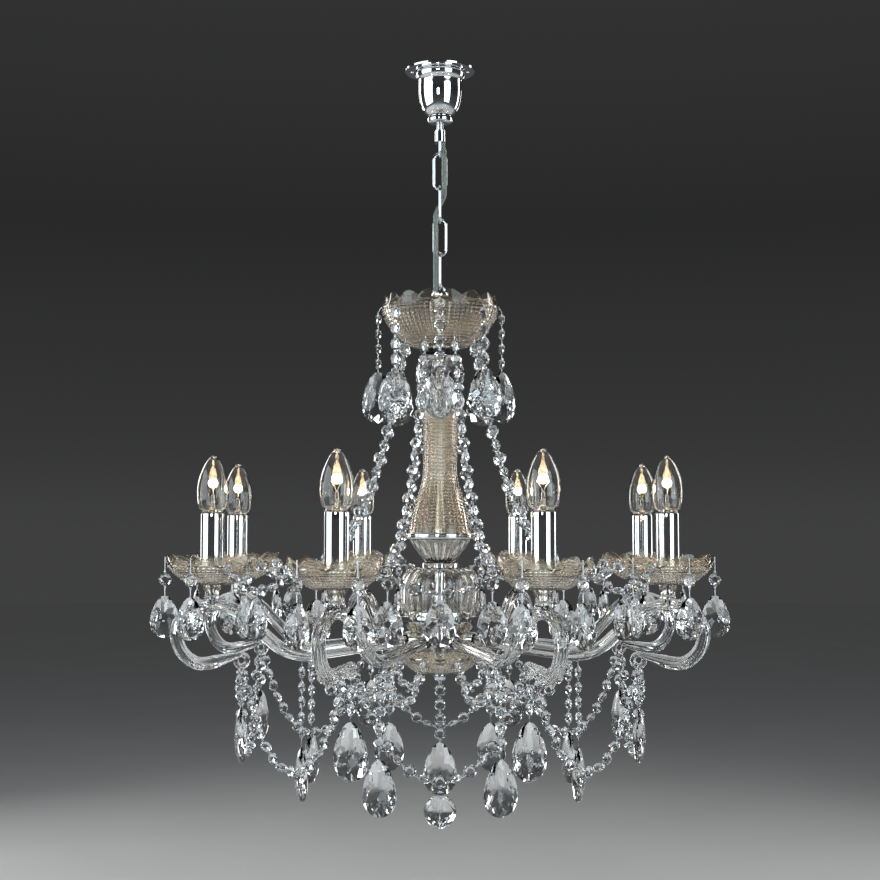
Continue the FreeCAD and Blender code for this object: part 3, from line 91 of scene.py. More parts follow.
# %% [markdown]
# ## The camera
# The photograph was taken from a little below the middle of the light, looking slightly up.
# The camera has a small pitch and no lens shift, so the verticals stay nearly upright.

# %% Camera
PICTURE_WIDTH = 880.0
FOCAL_LENGTH = 1506.4
CAMERA_PLACE = (0.0, -1.7586, -0.5458)
CAMERA_PITCH = 3.467
SENSOR_WIDTH = 36.0
lens = bpy.data.cameras.new("camera")
lens.sensor_width = SENSOR_WIDTH
lens.lens = SENSOR_WIDTH * FOCAL_LENGTH / PICTURE_WIDTH
lens.clip_end = 60.0
camera = bpy.data.objects.new("camera", lens)
camera.location = CAMERA_PLACE
camera.rotation_euler = (math.radians(90.0 + CAMERA_PITCH), 0.0, 0.0)
bpy.context.scene.collection.objects.link(camera)
bpy.context.scene.camera = camera
print("lens %.2f mm" % lens.lens)

# %% [markdown]
# ## Finishes
# Chrome plate is a mirror with faint wiping marks, so its roughness comes from stretched noise.
# Pressed glass is clear, but its mould leaves it very slightly uneven; cut crystal is clearer and
# bends light more. Each finish is a node tree on Object coordinates, so that nothing slides when
# a piece moves.

# %% Material helpers
NOISE_RANGE = (0.3, 0.7)
TINT_RANGE = (0.35, 0.65)


def new_finish(name, **constants):
    """A Principled material with plain numbers set on the shader's own sockets."""
    finish = bpy.data.materials.new(name)
    finish.use_nodes = True
    shader = finish.node_tree.nodes["Principled BSDF"]
    for socket, value in constants.items():
        shader.inputs[socket.replace("_", " ")].default_value = value
    return finish, finish.node_tree, shader


def noise_at(tree, scale, detail=3.0, stretch=(1.0, 1.0, 1.0)):
    """Noise on Object coordinates, stretched along an axis where the marks run that way."""
    nodes, links = tree.nodes, tree.links
    place = nodes.new("ShaderNodeTexCoord")
    mapping = nodes.new("ShaderNodeMapping")
    mapping.inputs["Scale"].default_value = stretch
    noise = nodes.new("ShaderNodeTexNoise")
    noise.inputs["Scale"].default_value = scale
    noise.inputs["Detail"].default_value = detail
    links.new(place.outputs["Object"], mapping.inputs["Vector"])
    links.new(mapping.outputs["Vector"], noise.inputs["Vector"])
    return noise.outputs["Fac"]


def ranged(tree, source, reach, low=0.0, high=1.0):
    """A value in one range moved to lie between two numbers."""
    node = tree.nodes.new("ShaderNodeMapRange")
    for socket, value in zip(("From Min", "From Max", "To Min", "To Max"), (*reach, low, high)):
        node.inputs[socket].default_value = value
    tree.links.new(source, node.inputs["Value"])
    return node.outputs["Result"]


def spread(tree, source, low, high, to):
    """Noise spread between two numbers, into one socket."""
    tree.links.new(ranged(tree, source, NOISE_RANGE, low, high), to)


def tinted(tree, source, dark, light, to):
    """Noise turned into a colour between two tints."""
    ramp = tree.nodes.new("ShaderNodeValToRGB")
    for stop, place, tint in zip(ramp.color_ramp.elements, TINT_RANGE, (dark, light)):
        stop.position = place
        stop.color = (*tint, 1.0)
    tree.links.new(source, ramp.inputs["Fac"])
    tree.links.new(ramp.outputs["Color"], to)


def uneven(tree, shader, source, strength, depth):
    """A shallow bump, for a surface that isn't quite even."""
    bump = tree.nodes.new("ShaderNodeBump")
    bump.inputs["Strength"].default_value = strength
    bump.inputs["Distance"].default_value = depth
    tree.links.new(source, bump.inputs["Height"])
    tree.links.new(bump.outputs["Normal"], shader.inputs["Normal"])


# %% Metals
def metal(name, dark, light, rough_low, rough_high, scale, stretch=(1.0, 1.0, 1.0)):
    """Plated or drawn metal with wiping marks."""
    finish, tree, shader = new_finish(name, Metallic=1.0)
    marks = noise_at(tree, scale, 5.0, stretch)
    clouds = noise_at(tree, 14.0, 2.0)
    spread(tree, marks, rough_low, rough_high, shader.inputs["Roughness"])
    tinted(tree, clouds, dark, light, shader.inputs["Base Color"])
    uneven(tree, shader, marks, 0.03, 0.0002)
    return finish


chrome = metal("chrome_plate", (0.80, 0.82, 0.84), (0.88, 0.89, 0.90), 0.03, 0.09, 60.0,
               (1.0, 1.0, 0.2))
steel = metal("drawn_steel", (0.62, 0.63, 0.64), (0.74, 0.75, 0.76), 0.16, 0.28, 160.0,
              (1.0, 1.0, 0.05))
nickel = metal("nickelled_brass", (0.66, 0.62, 0.52), (0.80, 0.77, 0.68), 0.14, 0.26, 120.0)
copper = metal("copper_strand", (0.72, 0.40, 0.26), (0.86, 0.52, 0.36), 0.2, 0.35, 300.0)
hook_metal = metal("hook_wire", (0.74, 0.75, 0.77), (0.86, 0.87, 0.88), 0.08, 0.18, 220.0)


# %% Glass and crystal
# The grooves between the studs get painted shade: the base colour there is multiplied by a dark
# tint.
GROOVE_RANGE = (0.45, 1.0)
GROOVE_PAINTED_SHADE = (0.56, 0.48, 0.39, 1.0)


def glass(name, ior, dark, light, rough_low, rough_high, scale, bump, clear=1.0):
    """Clear glass with a base colour that drifts between two tints, and a surface that is not quite
    even.
    """
    finish, tree, shader = new_finish(name, IOR=ior, Transmission_Weight=clear)
    drift = noise_at(tree, 9.0, 2.0)
    skin = noise_at(tree, scale, 3.0)
    tinted(tree, drift, dark, light, shader.inputs["Base Color"])
    spread(tree, skin, rough_low, rough_high, shader.inputs["Roughness"])
    if bump:
        uneven(tree, shader, skin, bump, 0.0006)
    return finish


def paint_groove_shade(finish):
    """Paint shade into a finish between the studs, where the pattern has noted a groove."""
    tree = finish.node_tree
    colour = tree.nodes["Principled BSDF"].inputs["Base Color"]
    plain = colour.links[0].from_socket
    noted = tree.nodes.new("ShaderNodeAttribute")
    noted.attribute_name = "groove"
    mix = tree.nodes.new("ShaderNodeMix")
    mix.data_type = "RGBA"
    mix.blend_type = "MULTIPLY"
    mix.inputs["B"].default_value = GROOVE_PAINTED_SHADE
    tree.links.new(ranged(tree, noted.outputs["Fac"], GROOVE_RANGE), mix.inputs["Factor"])
    tree.links.new(plain, mix.inputs["A"])
    tree.links.new(mix.outputs["Result"], colour)


# The warm cream tints of the studded and pressed glass are painted warm light from the lit bulbs;
# the random drift between the two tints is the glass's own.
studded_glass = glass("studded_glass", 1.50, (0.97, 0.88, 0.75), (1.0, 0.94, 0.84),
                      0.0, 0.012, 55.0, 0.02, 0.985)
# The studded glass takes painted shade in the grooves between its studs.
paint_groove_shade(studded_glass)
pressed_glass = glass("pressed_glass", 1.50, (0.97, 0.92, 0.85), (1.0, 0.98, 0.95),
                      0.0, 0.012, 55.0, 0.02, 0.995)
arm_glass = glass("arm_glass", 1.50, (0.96, 0.96, 0.95), (1.0, 1.0, 0.99),
                  0.0, 0.012, 40.0, 0.02)
cut_crystal = glass("cut_crystal", 1.62, (0.97, 0.98, 0.99), (1.0, 1.0, 1.0),
                    0.0, 0.015, 90.0, 0.0)
bulb_glass = glass("bulb_glass", 1.47, (0.99, 0.96, 0.91), (1.0, 0.985, 0.96),
                   0.0, 0.02, 30.0, 0.0)


# %% Plastics and the lit filament
def plastic(name, dark, light, rough_low, rough_high, **constants):
    """Moulded plastic with a fine grain."""
    finish, tree, shader = new_finish(name, **constants)
    grain = noise_at(tree, 420.0, 4.0)
    tinted(tree, noise_at(tree, 40.0, 2.0), dark, light, shader.inputs["Base Color"])
    spread(tree, grain, rough_low, rough_high, shader.inputs["Roughness"])
    uneven(tree, shader, grain, 0.12, 0.0002)
    return finish


sheath = plastic("cable_sheath", (0.26, 0.36, 0.33), (0.38, 0.48, 0.44), 0.12, 0.3,
                 IOR=1.5, Transmission_Weight=0.55)
terminal_plastic = plastic("terminal_plastic", (0.78, 0.78, 0.75), (0.86, 0.86, 0.83), 0.3, 0.45)

# A lampholder is a dark moulding on a metal pin, and the finish changes at the pin's top.
PIN_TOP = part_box("candle_sleeves")[0].z + 0.0006
PIN_EDGE = (PIN_TOP - 0.0002, PIN_TOP + 0.0002)
holder, holder_tree, holder_shader = new_finish("lampholder")
holder_place = holder_tree.nodes.new("ShaderNodeTexCoord")
holder_split = holder_tree.nodes.new("ShaderNodeSeparateXYZ")
holder_tree.links.new(holder_place.outputs["Object"], holder_split.inputs[0])
for socket, pin, body in (("Metallic", 1.0, 0.0), ("Roughness", 0.18, 0.42)):
    holder_tree.links.new(ranged(holder_tree, holder_split.outputs["Z"], PIN_EDGE, pin, body),
                          holder_shader.inputs[socket])
tinted(holder_tree, ranged(holder_tree, holder_split.outputs["Z"], PIN_EDGE),
       (0.72, 0.72, 0.72), (0.05, 0.05, 0.052), holder_shader.inputs["Base Color"])

glow, glow_tree, glow_shader = new_finish("lit_filament", Roughness=0.6)
tinted(glow_tree, noise_at(glow_tree, 900.0, 1.0), (1.0, 0.62, 0.28), (1.0, 0.86, 0.60),
       glow_shader.inputs["Emission Color"])
FILAMENT_GLOW = 160.0
glow_shader.inputs["Emission Strength"].default_value = FILAMENT_GLOW
print("finishes:", len(bpy.data.materials))


# %% [markdown]
# ## Tools for making pieces
# A finished piece is a mesh with its place in its points. Most of the glass and metal here was
# turned or pressed in a round mould, so the main tool takes the section of a piece, a list of
# runs that are each straight or smooth, and turns it about the upright axis. It also notes, at
# each point, how far round and how far along the section it lies, for the pattern that follows.

# %% Piece helpers
def link_piece(name, mesh, finishes=()):
    """A new object for a finished mesh."""
    piece = bpy.data.objects.new(name, mesh)
    for finish in finishes:
        mesh.materials.append(finish)
    bpy.context.scene.collection.objects.link(piece)
    return piece


def mesh_from(name, points, faces, smooth=True, angle=40.0):
    """A mesh from points and faces; smooth, with its sharp edges kept, or flat."""
    mesh = bpy.data.meshes.new(name)
    mesh.from_pydata([tuple(point) for point in points], [], [tuple(face) for face in faces])
    mesh.update()
    if smooth:
        mesh.shade_smooth()
        mesh.set_sharp_from_angle(angle=math.radians(angle))
    else:
        mesh.shade_flat()
    return mesh


def put(piece, body, slot, *nodes):
    """The piece rides on a body and stands for CAD nodes, which are hidden; slot is not used."""
    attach(piece, body)
    if nodes:
        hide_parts(*nodes)
    return piece


def joined(name, pieces):
    """Several pieces as one, with each part's own finish kept."""
    target = bmesh.new()
    finishes = []
    for piece in pieces:
        part = piece.data
        remap = []
        for finish in part.materials:
            if finish not in finishes:
                finishes.append(finish)
            remap.append(finishes.index(finish))
        before = len(target.faces)
        target.from_mesh(part)
        target.faces.ensure_lookup_table()
        for face in target.faces[before:]:
            face.material_index = remap[face.material_index] if remap else 0
    mesh = bpy.data.meshes.new(name)
    target.to_mesh(mesh)
    target.free()
    for piece in pieces:
        bpy.data.objects.remove(piece)
    return link_piece(name, mesh, finishes)


def moved_copy(name, piece, matrix):
    """A copy of a piece with a move baked into its points."""
    mesh = piece.data.copy()
    mesh.transform(matrix)
    return link_piece(name, mesh)


# %% Turning a section
NEAR = 1e-6             # closer than this, in mm, two points are one
FADE_SHARE = 0.06       # the share of a run over which its pattern fades in and out


def smooth_run(corners, step):
    """Points along a smooth line through the corners, about one step apart."""
    corners = [Vector((x, z, 0.0)) for x, z in corners]
    if len(corners) == 2:
        count = max(1, round((corners[1] - corners[0]).length / step))
        return [tuple(corners[0].lerp(corners[1], k / count))[:2] for k in range(count + 1)]
    line = [2 * corners[0] - corners[1]] + corners + [2 * corners[-1] - corners[-2]]
    points = []
    for before, start, end, after in zip(line, line[1:], line[2:], line[3:]):
        count = max(1, round((end - start).length / step))
        for k in range(count):
            t = k / count
            point = 0.5 * (2 * start + (end - before) * t
                           + (2 * before - 5 * start + 4 * end - after) * t ** 2
                           + (3 * start - before - 3 * end + after) * t ** 3)
            points.append((point.x, point.y))
    return points + [(corners[-1].x, corners[-1].y)]


def turned(name, runs, sides, base=0.0):
    """A closed section turned about the axis; sizes in mm, base is the height of its zero.

    A run is (corners, step) with an optional dict of shares: studs, flutes and rim.
    """
    section = []
    for run in runs:
        corners, step = run[0], run[1]
        marks = run[2] if len(run) > 2 else {}
        points = smooth_run(corners, step)
        if section and math.dist(section[-1][:2], points[0]) < NEAR:
            points = points[1:]
        travelled = 0.0
        total = sum(math.dist(a, b) for a, b in zip(points, points[1:])) or 1.0
        for index, point in enumerate(points):
            if index:
                travelled += math.dist(points[index - 1], point)
            fade = min(1.0, travelled / (FADE_SHARE * total),
                       (total - travelled) / (FADE_SHARE * total))
            shares = {key: value * fade for key, value in marks.items() if key != "rim"}
            if "rim" in marks:
                height, reach = marks["rim"]
                shares["rim"] = min(1.0, max(0.0, (point[1] - height) / reach))
            section.append((point[0], point[1], travelled, shares))
    if math.dist(section[0][:2], section[-1][:2]) < NEAR:
        section.pop()
    area = sum(a[0] * b[1] - b[0] * a[1] for a, b in zip(section, section[1:] + section[:1]))
    if area > 0:
        section.reverse()
    points, around, along = [], [], []
    shares = {"studs": [], "flutes": [], "rim": []}
    for radius, height, travelled, marks in section:
        for side in range(sides):
            angle = 2 * math.pi * side / sides
            turn = angle - math.pi / 2
            points.append((radius * math.cos(turn) * MM, radius * math.sin(turn) * MM,
                           (base + height) * MM))
            around.append(angle)
            along.append(travelled)
            for key in shares:
                shares[key].append(marks.get(key, 0.0))
    faces = []
    rings = len(section)
    for ring in range(rings):
        after = (ring + 1) % rings
        if section[ring][0] < NEAR and section[after][0] < NEAR:
            continue
        for side in range(sides):
            beside = (side + 1) % sides
            faces.append((ring * sides + side, after * sides + side,
                          after * sides + beside, ring * sides + beside))
    mesh = mesh_from(name, points, faces)
    for key, values in [("around", around), ("along", along)] + list(shares.items()):
        mesh.attributes.new(key, "FLOAT", "POINT").data.foreach_set("value", values)
    if any(point[0] < NEAR for point in section):
        solid = bmesh.new()
        solid.from_mesh(mesh)
        bmesh.ops.remove_doubles(solid, verts=solid.verts, dist=1e-7)
        bmesh.ops.dissolve_degenerate(solid, edges=solid.edges, dist=1e-7)
        solid.to_mesh(mesh)
        solid.free()
    return link_piece(name, mesh)


# %% [markdown]
# ## Node trees for what repeats
# Studs, flutes and scallops all repeat round a turned shell, so one Geometry Nodes tree presses
# them into it: it moves each point along its normal by a pattern of how far round and along it
# lies. A second tree sweeps a round or fluted section along a line, for wire, links and arms. A
# third hangs stones on points. Each tree is run once and its result kept as a plain mesh.

# %% Tree helpers
class Tree:
    """A Geometry Nodes tree under construction, with short ways to add its nodes."""

    def __init__(self, name, sockets):
        self.group = bpy.data.node_groups.new(name, "GeometryNodeTree")
        face = self.group.interface
        face.new_socket("Geometry", in_out="INPUT", socket_type="NodeSocketGeometry")
        for label, kind in sockets:
            face.new_socket(label, in_out="INPUT", socket_type="NodeSocket" + kind)
        face.new_socket("Geometry", in_out="OUTPUT", socket_type="NodeSocketGeometry")
        self.source = self.group.nodes.new("NodeGroupInput").outputs
        self.sink = self.group.nodes.new("NodeGroupOutput").inputs

    def add(self, kind, inputs=(), **settings):
        """A node with its settings, and with its inputs set or linked by name or number."""
        node = self.group.nodes.new(kind)
        for key, value in settings.items():
            setattr(node, key, value)
        for key, value in dict(inputs).items():
            if isinstance(value, bpy.types.NodeSocket):
                self.group.links.new(value, node.inputs[key])
            else:
                node.inputs[key].default_value = value
        return node

    def math(self, operation, *values):
        """The result of one sum."""
        return self.add("ShaderNodeMath", enumerate(values), operation=operation).outputs[0]

    def field(self, name, kind="FLOAT"):
        """A named attribute as a field."""
        node = self.add("GeometryNodeInputNamedAttribute", {"Name": name}, data_type=kind)
        return node.outputs["Attribute"]

    def end(self, socket):
        """Link the tree's result."""
        self.group.links.new(socket, self.sink["Geometry"])
        return self.group


def run_tree(piece, group, **values):
    """Run a tree on a piece and keep the result as its plain mesh."""
    modifier = piece.modifiers.new(group.name, "NODES")
    modifier.node_group = group
    for item in group.interface.items_tree:
        if item.in_out == "INPUT" and item.name.replace(" ", "_") in values:
            modifier[item.identifier] = values[item.name.replace(" ", "_")]
    evaluated = piece.evaluated_get(bpy.context.evaluated_depsgraph_get())
    mesh = bpy.data.meshes.new_from_object(evaluated)
    name = piece.name
    if piece.type == "MESH":
        piece.modifiers.clear()
        piece.data = mesh
        return piece
    bpy.data.objects.remove(piece)
    return link_piece(name, mesh)


# %% The tree that presses a pattern
FLUTE_MIDDLE = 0.65      # the level of a flute's wave that stays on the surface


def pressed_pattern_tree():
    """Studs and flutes raised along the normal, and scallops cut down from a rim."""
    tree = Tree("pressed_pattern", [
        ("Columns", "Float"), ("Row Pitch", "Float"), ("Stud Height", "Float"),
        ("Flutes", "Float"), ("Flute Depth", "Float"), ("Scallops", "Float"),
        ("Scallop Depth", "Float"), ("Material", "Material"),
    ])
    given = tree.source
    around, along = tree.field("around"), tree.field("along")

    def wave(count):
        turns = tree.math("MULTIPLY", tree.math("MULTIPLY", around, count), 0.5)
        return tree.math("ABSOLUTE", tree.math("SINE", turns))

    rows = tree.math("MULTIPLY", tree.math("DIVIDE", along, given["Row Pitch"]), math.pi)
    row_wave = tree.math("ABSOLUTE", tree.math("SINE", rows))
    studs = tree.math("MINIMUM", wave(given["Columns"]), row_wave)
    # The groove share is stored for the glass finish, which paints shade into the grooves.
    groove = tree.math("MULTIPLY", tree.field("studs"), tree.math("SUBTRACT", 1.0, studs))
    studs = tree.math("MULTIPLY", studs, tree.math("MULTIPLY", tree.field("studs"),
                                                   given["Stud Height"]))
    flutes = tree.math("SUBTRACT", wave(given["Flutes"]), FLUTE_MIDDLE)
    flutes = tree.math("MULTIPLY", flutes, tree.math("MULTIPLY", tree.field("flutes"),
                                                     given["Flute Depth"]))
    raised = tree.math("MULTIPLY", tree.math("ADD", studs, flutes), MM)
    normal = tree.add("GeometryNodeInputNormal").outputs[0]
    out = tree.add("ShaderNodeVectorMath", {0: normal, "Scale": raised}, operation="SCALE")
    valley = tree.math("SUBTRACT", 1.0, wave(given["Scallops"]))
    drop = tree.math("MULTIPLY", valley, tree.math("MULTIPLY", tree.field("rim"),
                                                   given["Scallop Depth"]))
    down = tree.add("ShaderNodeCombineXYZ", {"Z": tree.math("MULTIPLY", drop, -MM)})
    offset = tree.add("ShaderNodeVectorMath", {0: out.outputs[0], 1: down.outputs[0]},
                      operation="ADD")
    moved = tree.add("GeometryNodeSetPosition", {"Geometry": given["Geometry"],
                                                 "Offset": offset.outputs[0]})
    real = tree.add("GeometryNodeRealizeInstances", {"Geometry": moved.outputs[0]})
    noted = tree.add("GeometryNodeStoreNamedAttribute", {
        "Geometry": real.outputs[0], "Name": "groove", "Value": groove}, data_type="FLOAT",
        domain="POINT")
    coated = tree.add("GeometryNodeSetMaterial", {"Geometry": noted.outputs[0],
                                                  "Material": given["Material"]})
    return tree.end(coated.outputs[0])


PRESSED = pressed_pattern_tree()


def pressed(piece, finish, columns=0, row_pitch=5.0, stud_height=0.0, flutes=0, flute_depth=0.0,
            scallops=0, scallop_depth=0.0):
    """A turned piece with its pressed pattern; sizes in mm."""
    return run_tree(piece, PRESSED, Columns=float(columns), Row_Pitch=float(row_pitch),
                    Stud_Height=float(stud_height), Flutes=float(flutes),
                    Flute_Depth=float(flute_depth), Scallops=float(scallops),
                    Scallop_Depth=float(scallop_depth), Material=finish)


def threaded(node, name, finish, slot, sides, runs, base=None, body="column", **pattern):
    """A turned and pressed piece for a CAD node, with its zero at the node's top or at base."""
    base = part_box(node)[1].z / MM if base is None else base
    return put(pressed(turned(name, runs, sides, base), finish, **pattern), body, slot, node)


# %% The tree that sweeps a section
def swept_tree():
    """A round section, fluted if asked, swept along a line and scaled by its radius."""
    tree = Tree("swept_section", [
        ("Sides", "Int"), ("Radius", "Float"), ("Flutes", "Float"), ("Flute Depth", "Float"),
        ("Caps", "Bool"), ("Material", "Material"),
    ])
    given = tree.source
    circle = tree.add("GeometryNodeCurvePrimitiveCircle", {"Resolution": given["Sides"],
                                                           "Radius": given["Radius"]})
    place = tree.add("GeometryNodeInputPosition").outputs[0]
    parts = tree.add("ShaderNodeSeparateXYZ", {0: place})
    angle = tree.math("ARCTAN2", parts.outputs[1], parts.outputs[0])
    turns = tree.math("MULTIPLY", tree.math("MULTIPLY", angle, given["Flutes"]), 0.5)
    groove = tree.math("SUBTRACT", tree.math("ABSOLUTE", tree.math("SINE", turns)), 1.0)
    share = tree.math("DIVIDE", tree.math("MULTIPLY", groove, given["Flute Depth"]),
                      given["Radius"])
    shift = tree.add("ShaderNodeVectorMath", {0: place, "Scale": share}, operation="SCALE")
    section = tree.add("GeometryNodeSetPosition", {"Geometry": circle.outputs["Curve"],
                                                   "Offset": shift.outputs[0]})
    radius = tree.add("GeometryNodeInputRadius").outputs[0]
    sweep = tree.add("GeometryNodeCurveToMesh", {"Curve": given["Geometry"], "Scale": radius,
                                                 "Profile Curve": section.outputs[0],
                                                 "Fill Caps": given["Caps"]})
    soft = tree.add("GeometryNodeSetShadeSmooth", {"Geometry": sweep.outputs[0]})
    real = tree.add("GeometryNodeRealizeInstances", {"Geometry": soft.outputs[0]})
    coated = tree.add("GeometryNodeSetMaterial", {"Geometry": real.outputs[0],
                                                  "Material": given["Material"]})
    return tree.end(coated.outputs[0])


SWEPT = swept_tree()


def line_through(name, points, closed=False, radii=None):
    """A line object through points in metres, each with its own share of the radius."""
    curve = bpy.data.curves.new(name, "CURVE")
    curve.dimensions = "3D"
    spline = curve.splines.new("POLY")
    spline.points.add(len(points) - 1)
    for index, point in enumerate(points):
        spline.points[index].co = (*point, 1.0)
        spline.points[index].radius = radii[index] if radii else 1.0
    spline.use_cyclic_u = closed
    piece = bpy.data.objects.new(name, curve)
    bpy.context.scene.collection.objects.link(piece)
    return piece


def swept(name, points, radius, finish, sides=16, closed=False, radii=None, flutes=0,
          flute_depth=0.0, caps=True):
    """A wire or tube along points in metres; radius and depth in mm."""
    line = line_through(name, points, closed, radii)
    return run_tree(line, SWEPT, Sides=sides, Radius=radius * MM, Flutes=float(flutes),
                    Flute_Depth=flute_depth * MM, Caps=caps and not closed, Material=finish)


def arc_points(centre, across, up, radius, start, end, count):
    """Points on an arc in the plane of two directions; angles in degrees, the rest in metres."""
    points = []
    for k in range(count + 1):
        angle = math.radians(start + (end - start) * k / count)
        points.append(centre + across * radius * math.cos(angle) + up * radius * math.sin(angle))
    return points


print("trees:", len(bpy.data.node_groups))

# %% [markdown]
# ## The supply cable
# A flat twin flex is threaded down the chain: two round cores side by side, with a groove
# between them, in a clear sheath. The chain holds it at every link, so it isn't a free cord. It
# is made in five stretches, each from the middle of one link to the middle of the next.

# %% Cable
hinge_heights = [joint["pos_m"][2] for joint in frame["joints"] if "chain_hinge" in joint["name"]]
CABLE_FRONT, CABLE_SIDE, CORE = -3.6, 5.0, 1.5
STRAND_RADIUS = 0.75
CABLE_PACE = 1.5 * MM
cable_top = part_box("supply_cable_1")[1].z
cable_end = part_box("supply_cable_6")[0].z


def ease(value, start, end):
    """0 before start, 1 after end, and smooth between them."""
    t = min(1.0, max(0.0, (value - start) / (end - start)))
    return t * t * (3 - 2 * t)


def cable_side(height):
    """How far right of the middle the cable lies at a height, in mm."""
    z = height / MM
    top = cable_top / MM
    crossing = hinge_heights[1] / MM
    return (3.0 + 2.0 * ease(-z, -top + 3.0, -top + 12.0)
            - 2 * CABLE_SIDE * ease(-z, -crossing + 5.0, -crossing + 34.0))


def twin_outline():
    """The outline of the flat twin section, in mm, round both cores."""
    right = [(CORE + CORE * math.cos(a), CORE * math.sin(a))
             for a in np.radians(np.linspace(-125, 125, 11))]
    left = [(-x, -y) for x, y in right]
    return right + left


def cable_stretch(name, top, low):
    """The sheath and its two strands between two heights."""
    outline = twin_outline()
    steps = max(6, round((top - low) / CABLE_PACE))
    points, faces = [], []
    for step in range(steps + 1):
        z = top + (low - top) * step / steps
        x0 = cable_side(z)
        points += [((x0 + x) * MM, (CABLE_FRONT + y) * MM, z) for x, y in outline]
    count = len(outline)
    for step in range(steps):
        for k in range(count):
            after = (k + 1) % count
            faces.append((step * count + k, (step + 1) * count + k,
                          (step + 1) * count + after, step * count + after))
    faces.append(tuple(range(count)))
    faces.append(tuple(reversed(range(steps * count, (steps + 1) * count))))
    skin = link_piece(name + "_skin", mesh_from(name, points, faces), [sheath])
    parts = [skin]
    for side in (-1, 1):
        line = [Vector(((cable_side(top + (low - top) * k / steps) + side * CORE) * MM,
                        CABLE_FRONT * MM, top + (low - top) * k / steps))
                for k in range(steps + 1)]
        parts.append(swept(name + "_core", line, STRAND_RADIUS, copper, 6))
    return joined(name, parts)


middles = [(a + b) / 2 for a, b in zip(hinge_heights, hinge_heights[1:])]
ends = [cable_top] + middles + [cable_end]
for number in range(5):
    stretch = cable_stretch("supply_flex_%d" % (number + 1), ends[number], ends[number + 1])
    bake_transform(stretch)
    names = ["supply_cable_%d" % (number + 1)] + (["supply_cable_6"] if number == 4 else [])
    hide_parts(*names)
print("flex: %.0f mm" % ((cable_top - cable_end) / MM))

# %% [markdown]
# ## Canopy and chain
# The canopy is spun brass, plated: a bulging ring, a cup and a bead. Spun metal has soft edges
# and no facets, so each is turned again from its section. The links are bent from round wire,
# and a node tree sweeps the wire round each link's line.

# %% Canopy
CANOPY_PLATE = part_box("ceiling_plate")[0].z / MM
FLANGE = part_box("canopy_flange")[0].z / MM
TURN_SIDES = 96

threaded("canopy_flange", "canopy_ring", chrome, "chrome", TURN_SIDES, [
    ([(27.3, -0.05), (28.9, -1.6), (29.2, -4.2), (28.3, -8.0), (25.7, -11.0)], 0.7),
    ([(25.7, -11.0), (25.2, -12.0)], 0.5),
    ([(25.2, -12.0), (23.2, -12.0)], 1.0),
    ([(23.2, -12.0), (23.2, -0.05)], 4.0),
], CANOPY_PLATE, "canopy")

threaded("canopy_cup", "canopy_shell", chrome, "chrome", TURN_SIDES, [
    ([(25.5, 0.0), (25.6, -12.0), (24.2, -24.0), (20.4, -35.0), (14.0, -41.0)], 1.2),
    ([(14.0, -41.0), (4.3, -41.0)], 3.0),
    ([(4.3, -41.0), (4.3, -39.8)], 1.0),
    ([(4.3, -39.8), (13.2, -39.8), (19.2, -34.2), (22.9, -24.0), (24.4, -12.0), (24.3, 0.0)], 2.0),
], FLANGE, "canopy")

threaded("canopy_bead", "canopy_knop", chrome, "chrome", TURN_SIDES, [
    ([(11.8, 0.0), (14.3, -1.2), (15.1, -4.5), (14.3, -7.8), (11.4, -9.0)], 0.6),
    ([(11.4, -9.0), (4.3, -9.0)], 3.0),
    ([(4.3, -9.0), (4.3, 0.0)], 4.5),
], body="canopy")

# %% Chain
LINK_BEND, LINK_WIRE = 7.15, 1.6
X, Y, Z = Vector((1, 0, 0)), Vector((0, 1, 0)), Vector((0, 0, 1))


def link_line(across, low, high, bend):
    """The middle line of a long link, in metres."""
    reach = bend * MM
    upper = arc_points(Z * (high - reach), across, Z, reach, 0, 180, 18)
    lower = arc_points(Z * (low + reach), across, Z, reach, 180, 360, 18)
    return upper + lower


for number in range(1, 5):
    node = "chain_link_%d" % number
    low, high = (corner.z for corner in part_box(node))
    line = link_line(X if number % 2 else Y, low + LINK_WIRE * MM, high - LINK_WIRE * MM, LINK_BEND)
    link = swept("wire_link_%d" % number, line, LINK_WIRE, chrome, 18, closed=True)
    put(link, "link_%d" % number, "chrome", node)

# %% [markdown]
# ## The head of the stem
# A ring on a round base takes the last link. The stem below is drawn tube, and all the glass is
# threaded on it; it shows through the glass as a bright line.

# %% Ring, base and stem
ring_low, ring_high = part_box("top_ring")
RING_RADIUS = 5.6
ring_centre = Z * (ring_high.z - (RING_RADIUS + LINK_WIRE) * MM)
eye = swept("eye", arc_points(ring_centre, X, Z, RING_RADIUS * MM, 0, 345, 23), LINK_WIRE, chrome,
            16, closed=True)
base = turned("eye_base", [
    ([(0.0, 6.0), (9.2, 6.0), (10.6, 5.4), (11.0, 4.2)], 0.8),
    ([(11.0, 4.2), (11.0, 1.2), (10.2, 0.1), (9.6, 0.0)], 0.8),
    ([(9.6, 0.0), (0.0, 0.0)], 3.0),
], 48, ring_low.z / MM)
put(joined("stem_eye", [eye, pressed(base, chrome)]), "column", "chrome", "top_ring")

stem_low, stem_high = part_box("stem_tube")
STEM_TOP = (stem_high.z - stem_low.z) / MM
threaded("stem_tube", "stem", steel, "steel_tube", 32, [
    ([(5.0, STEM_TOP), (5.0, 0.0)], 12.0),
    ([(5.0, 0.0), (3.6, 0.0)], 1.4),
    ([(3.6, 0.0), (3.6, STEM_TOP)], 40.0),
    ([(3.6, STEM_TOP), (5.0, STEM_TOP)], 1.4),
], stem_low.z / MM)

# %% [markdown]
# ## Pressed bowls and dishes
# The bowl, the dishes and the hub's cup come from moulds: rows of small square studs outside,
# smooth inside, and a thin clear rim of rounded scallops. One function gives the section of them
# all. The rows of studs need about six points to a stud, which sets the number of sides.

# %% Bowls
STEM_HOLE = 5.3
STUD_POINTS = 6
RIM_WALL = 1.5


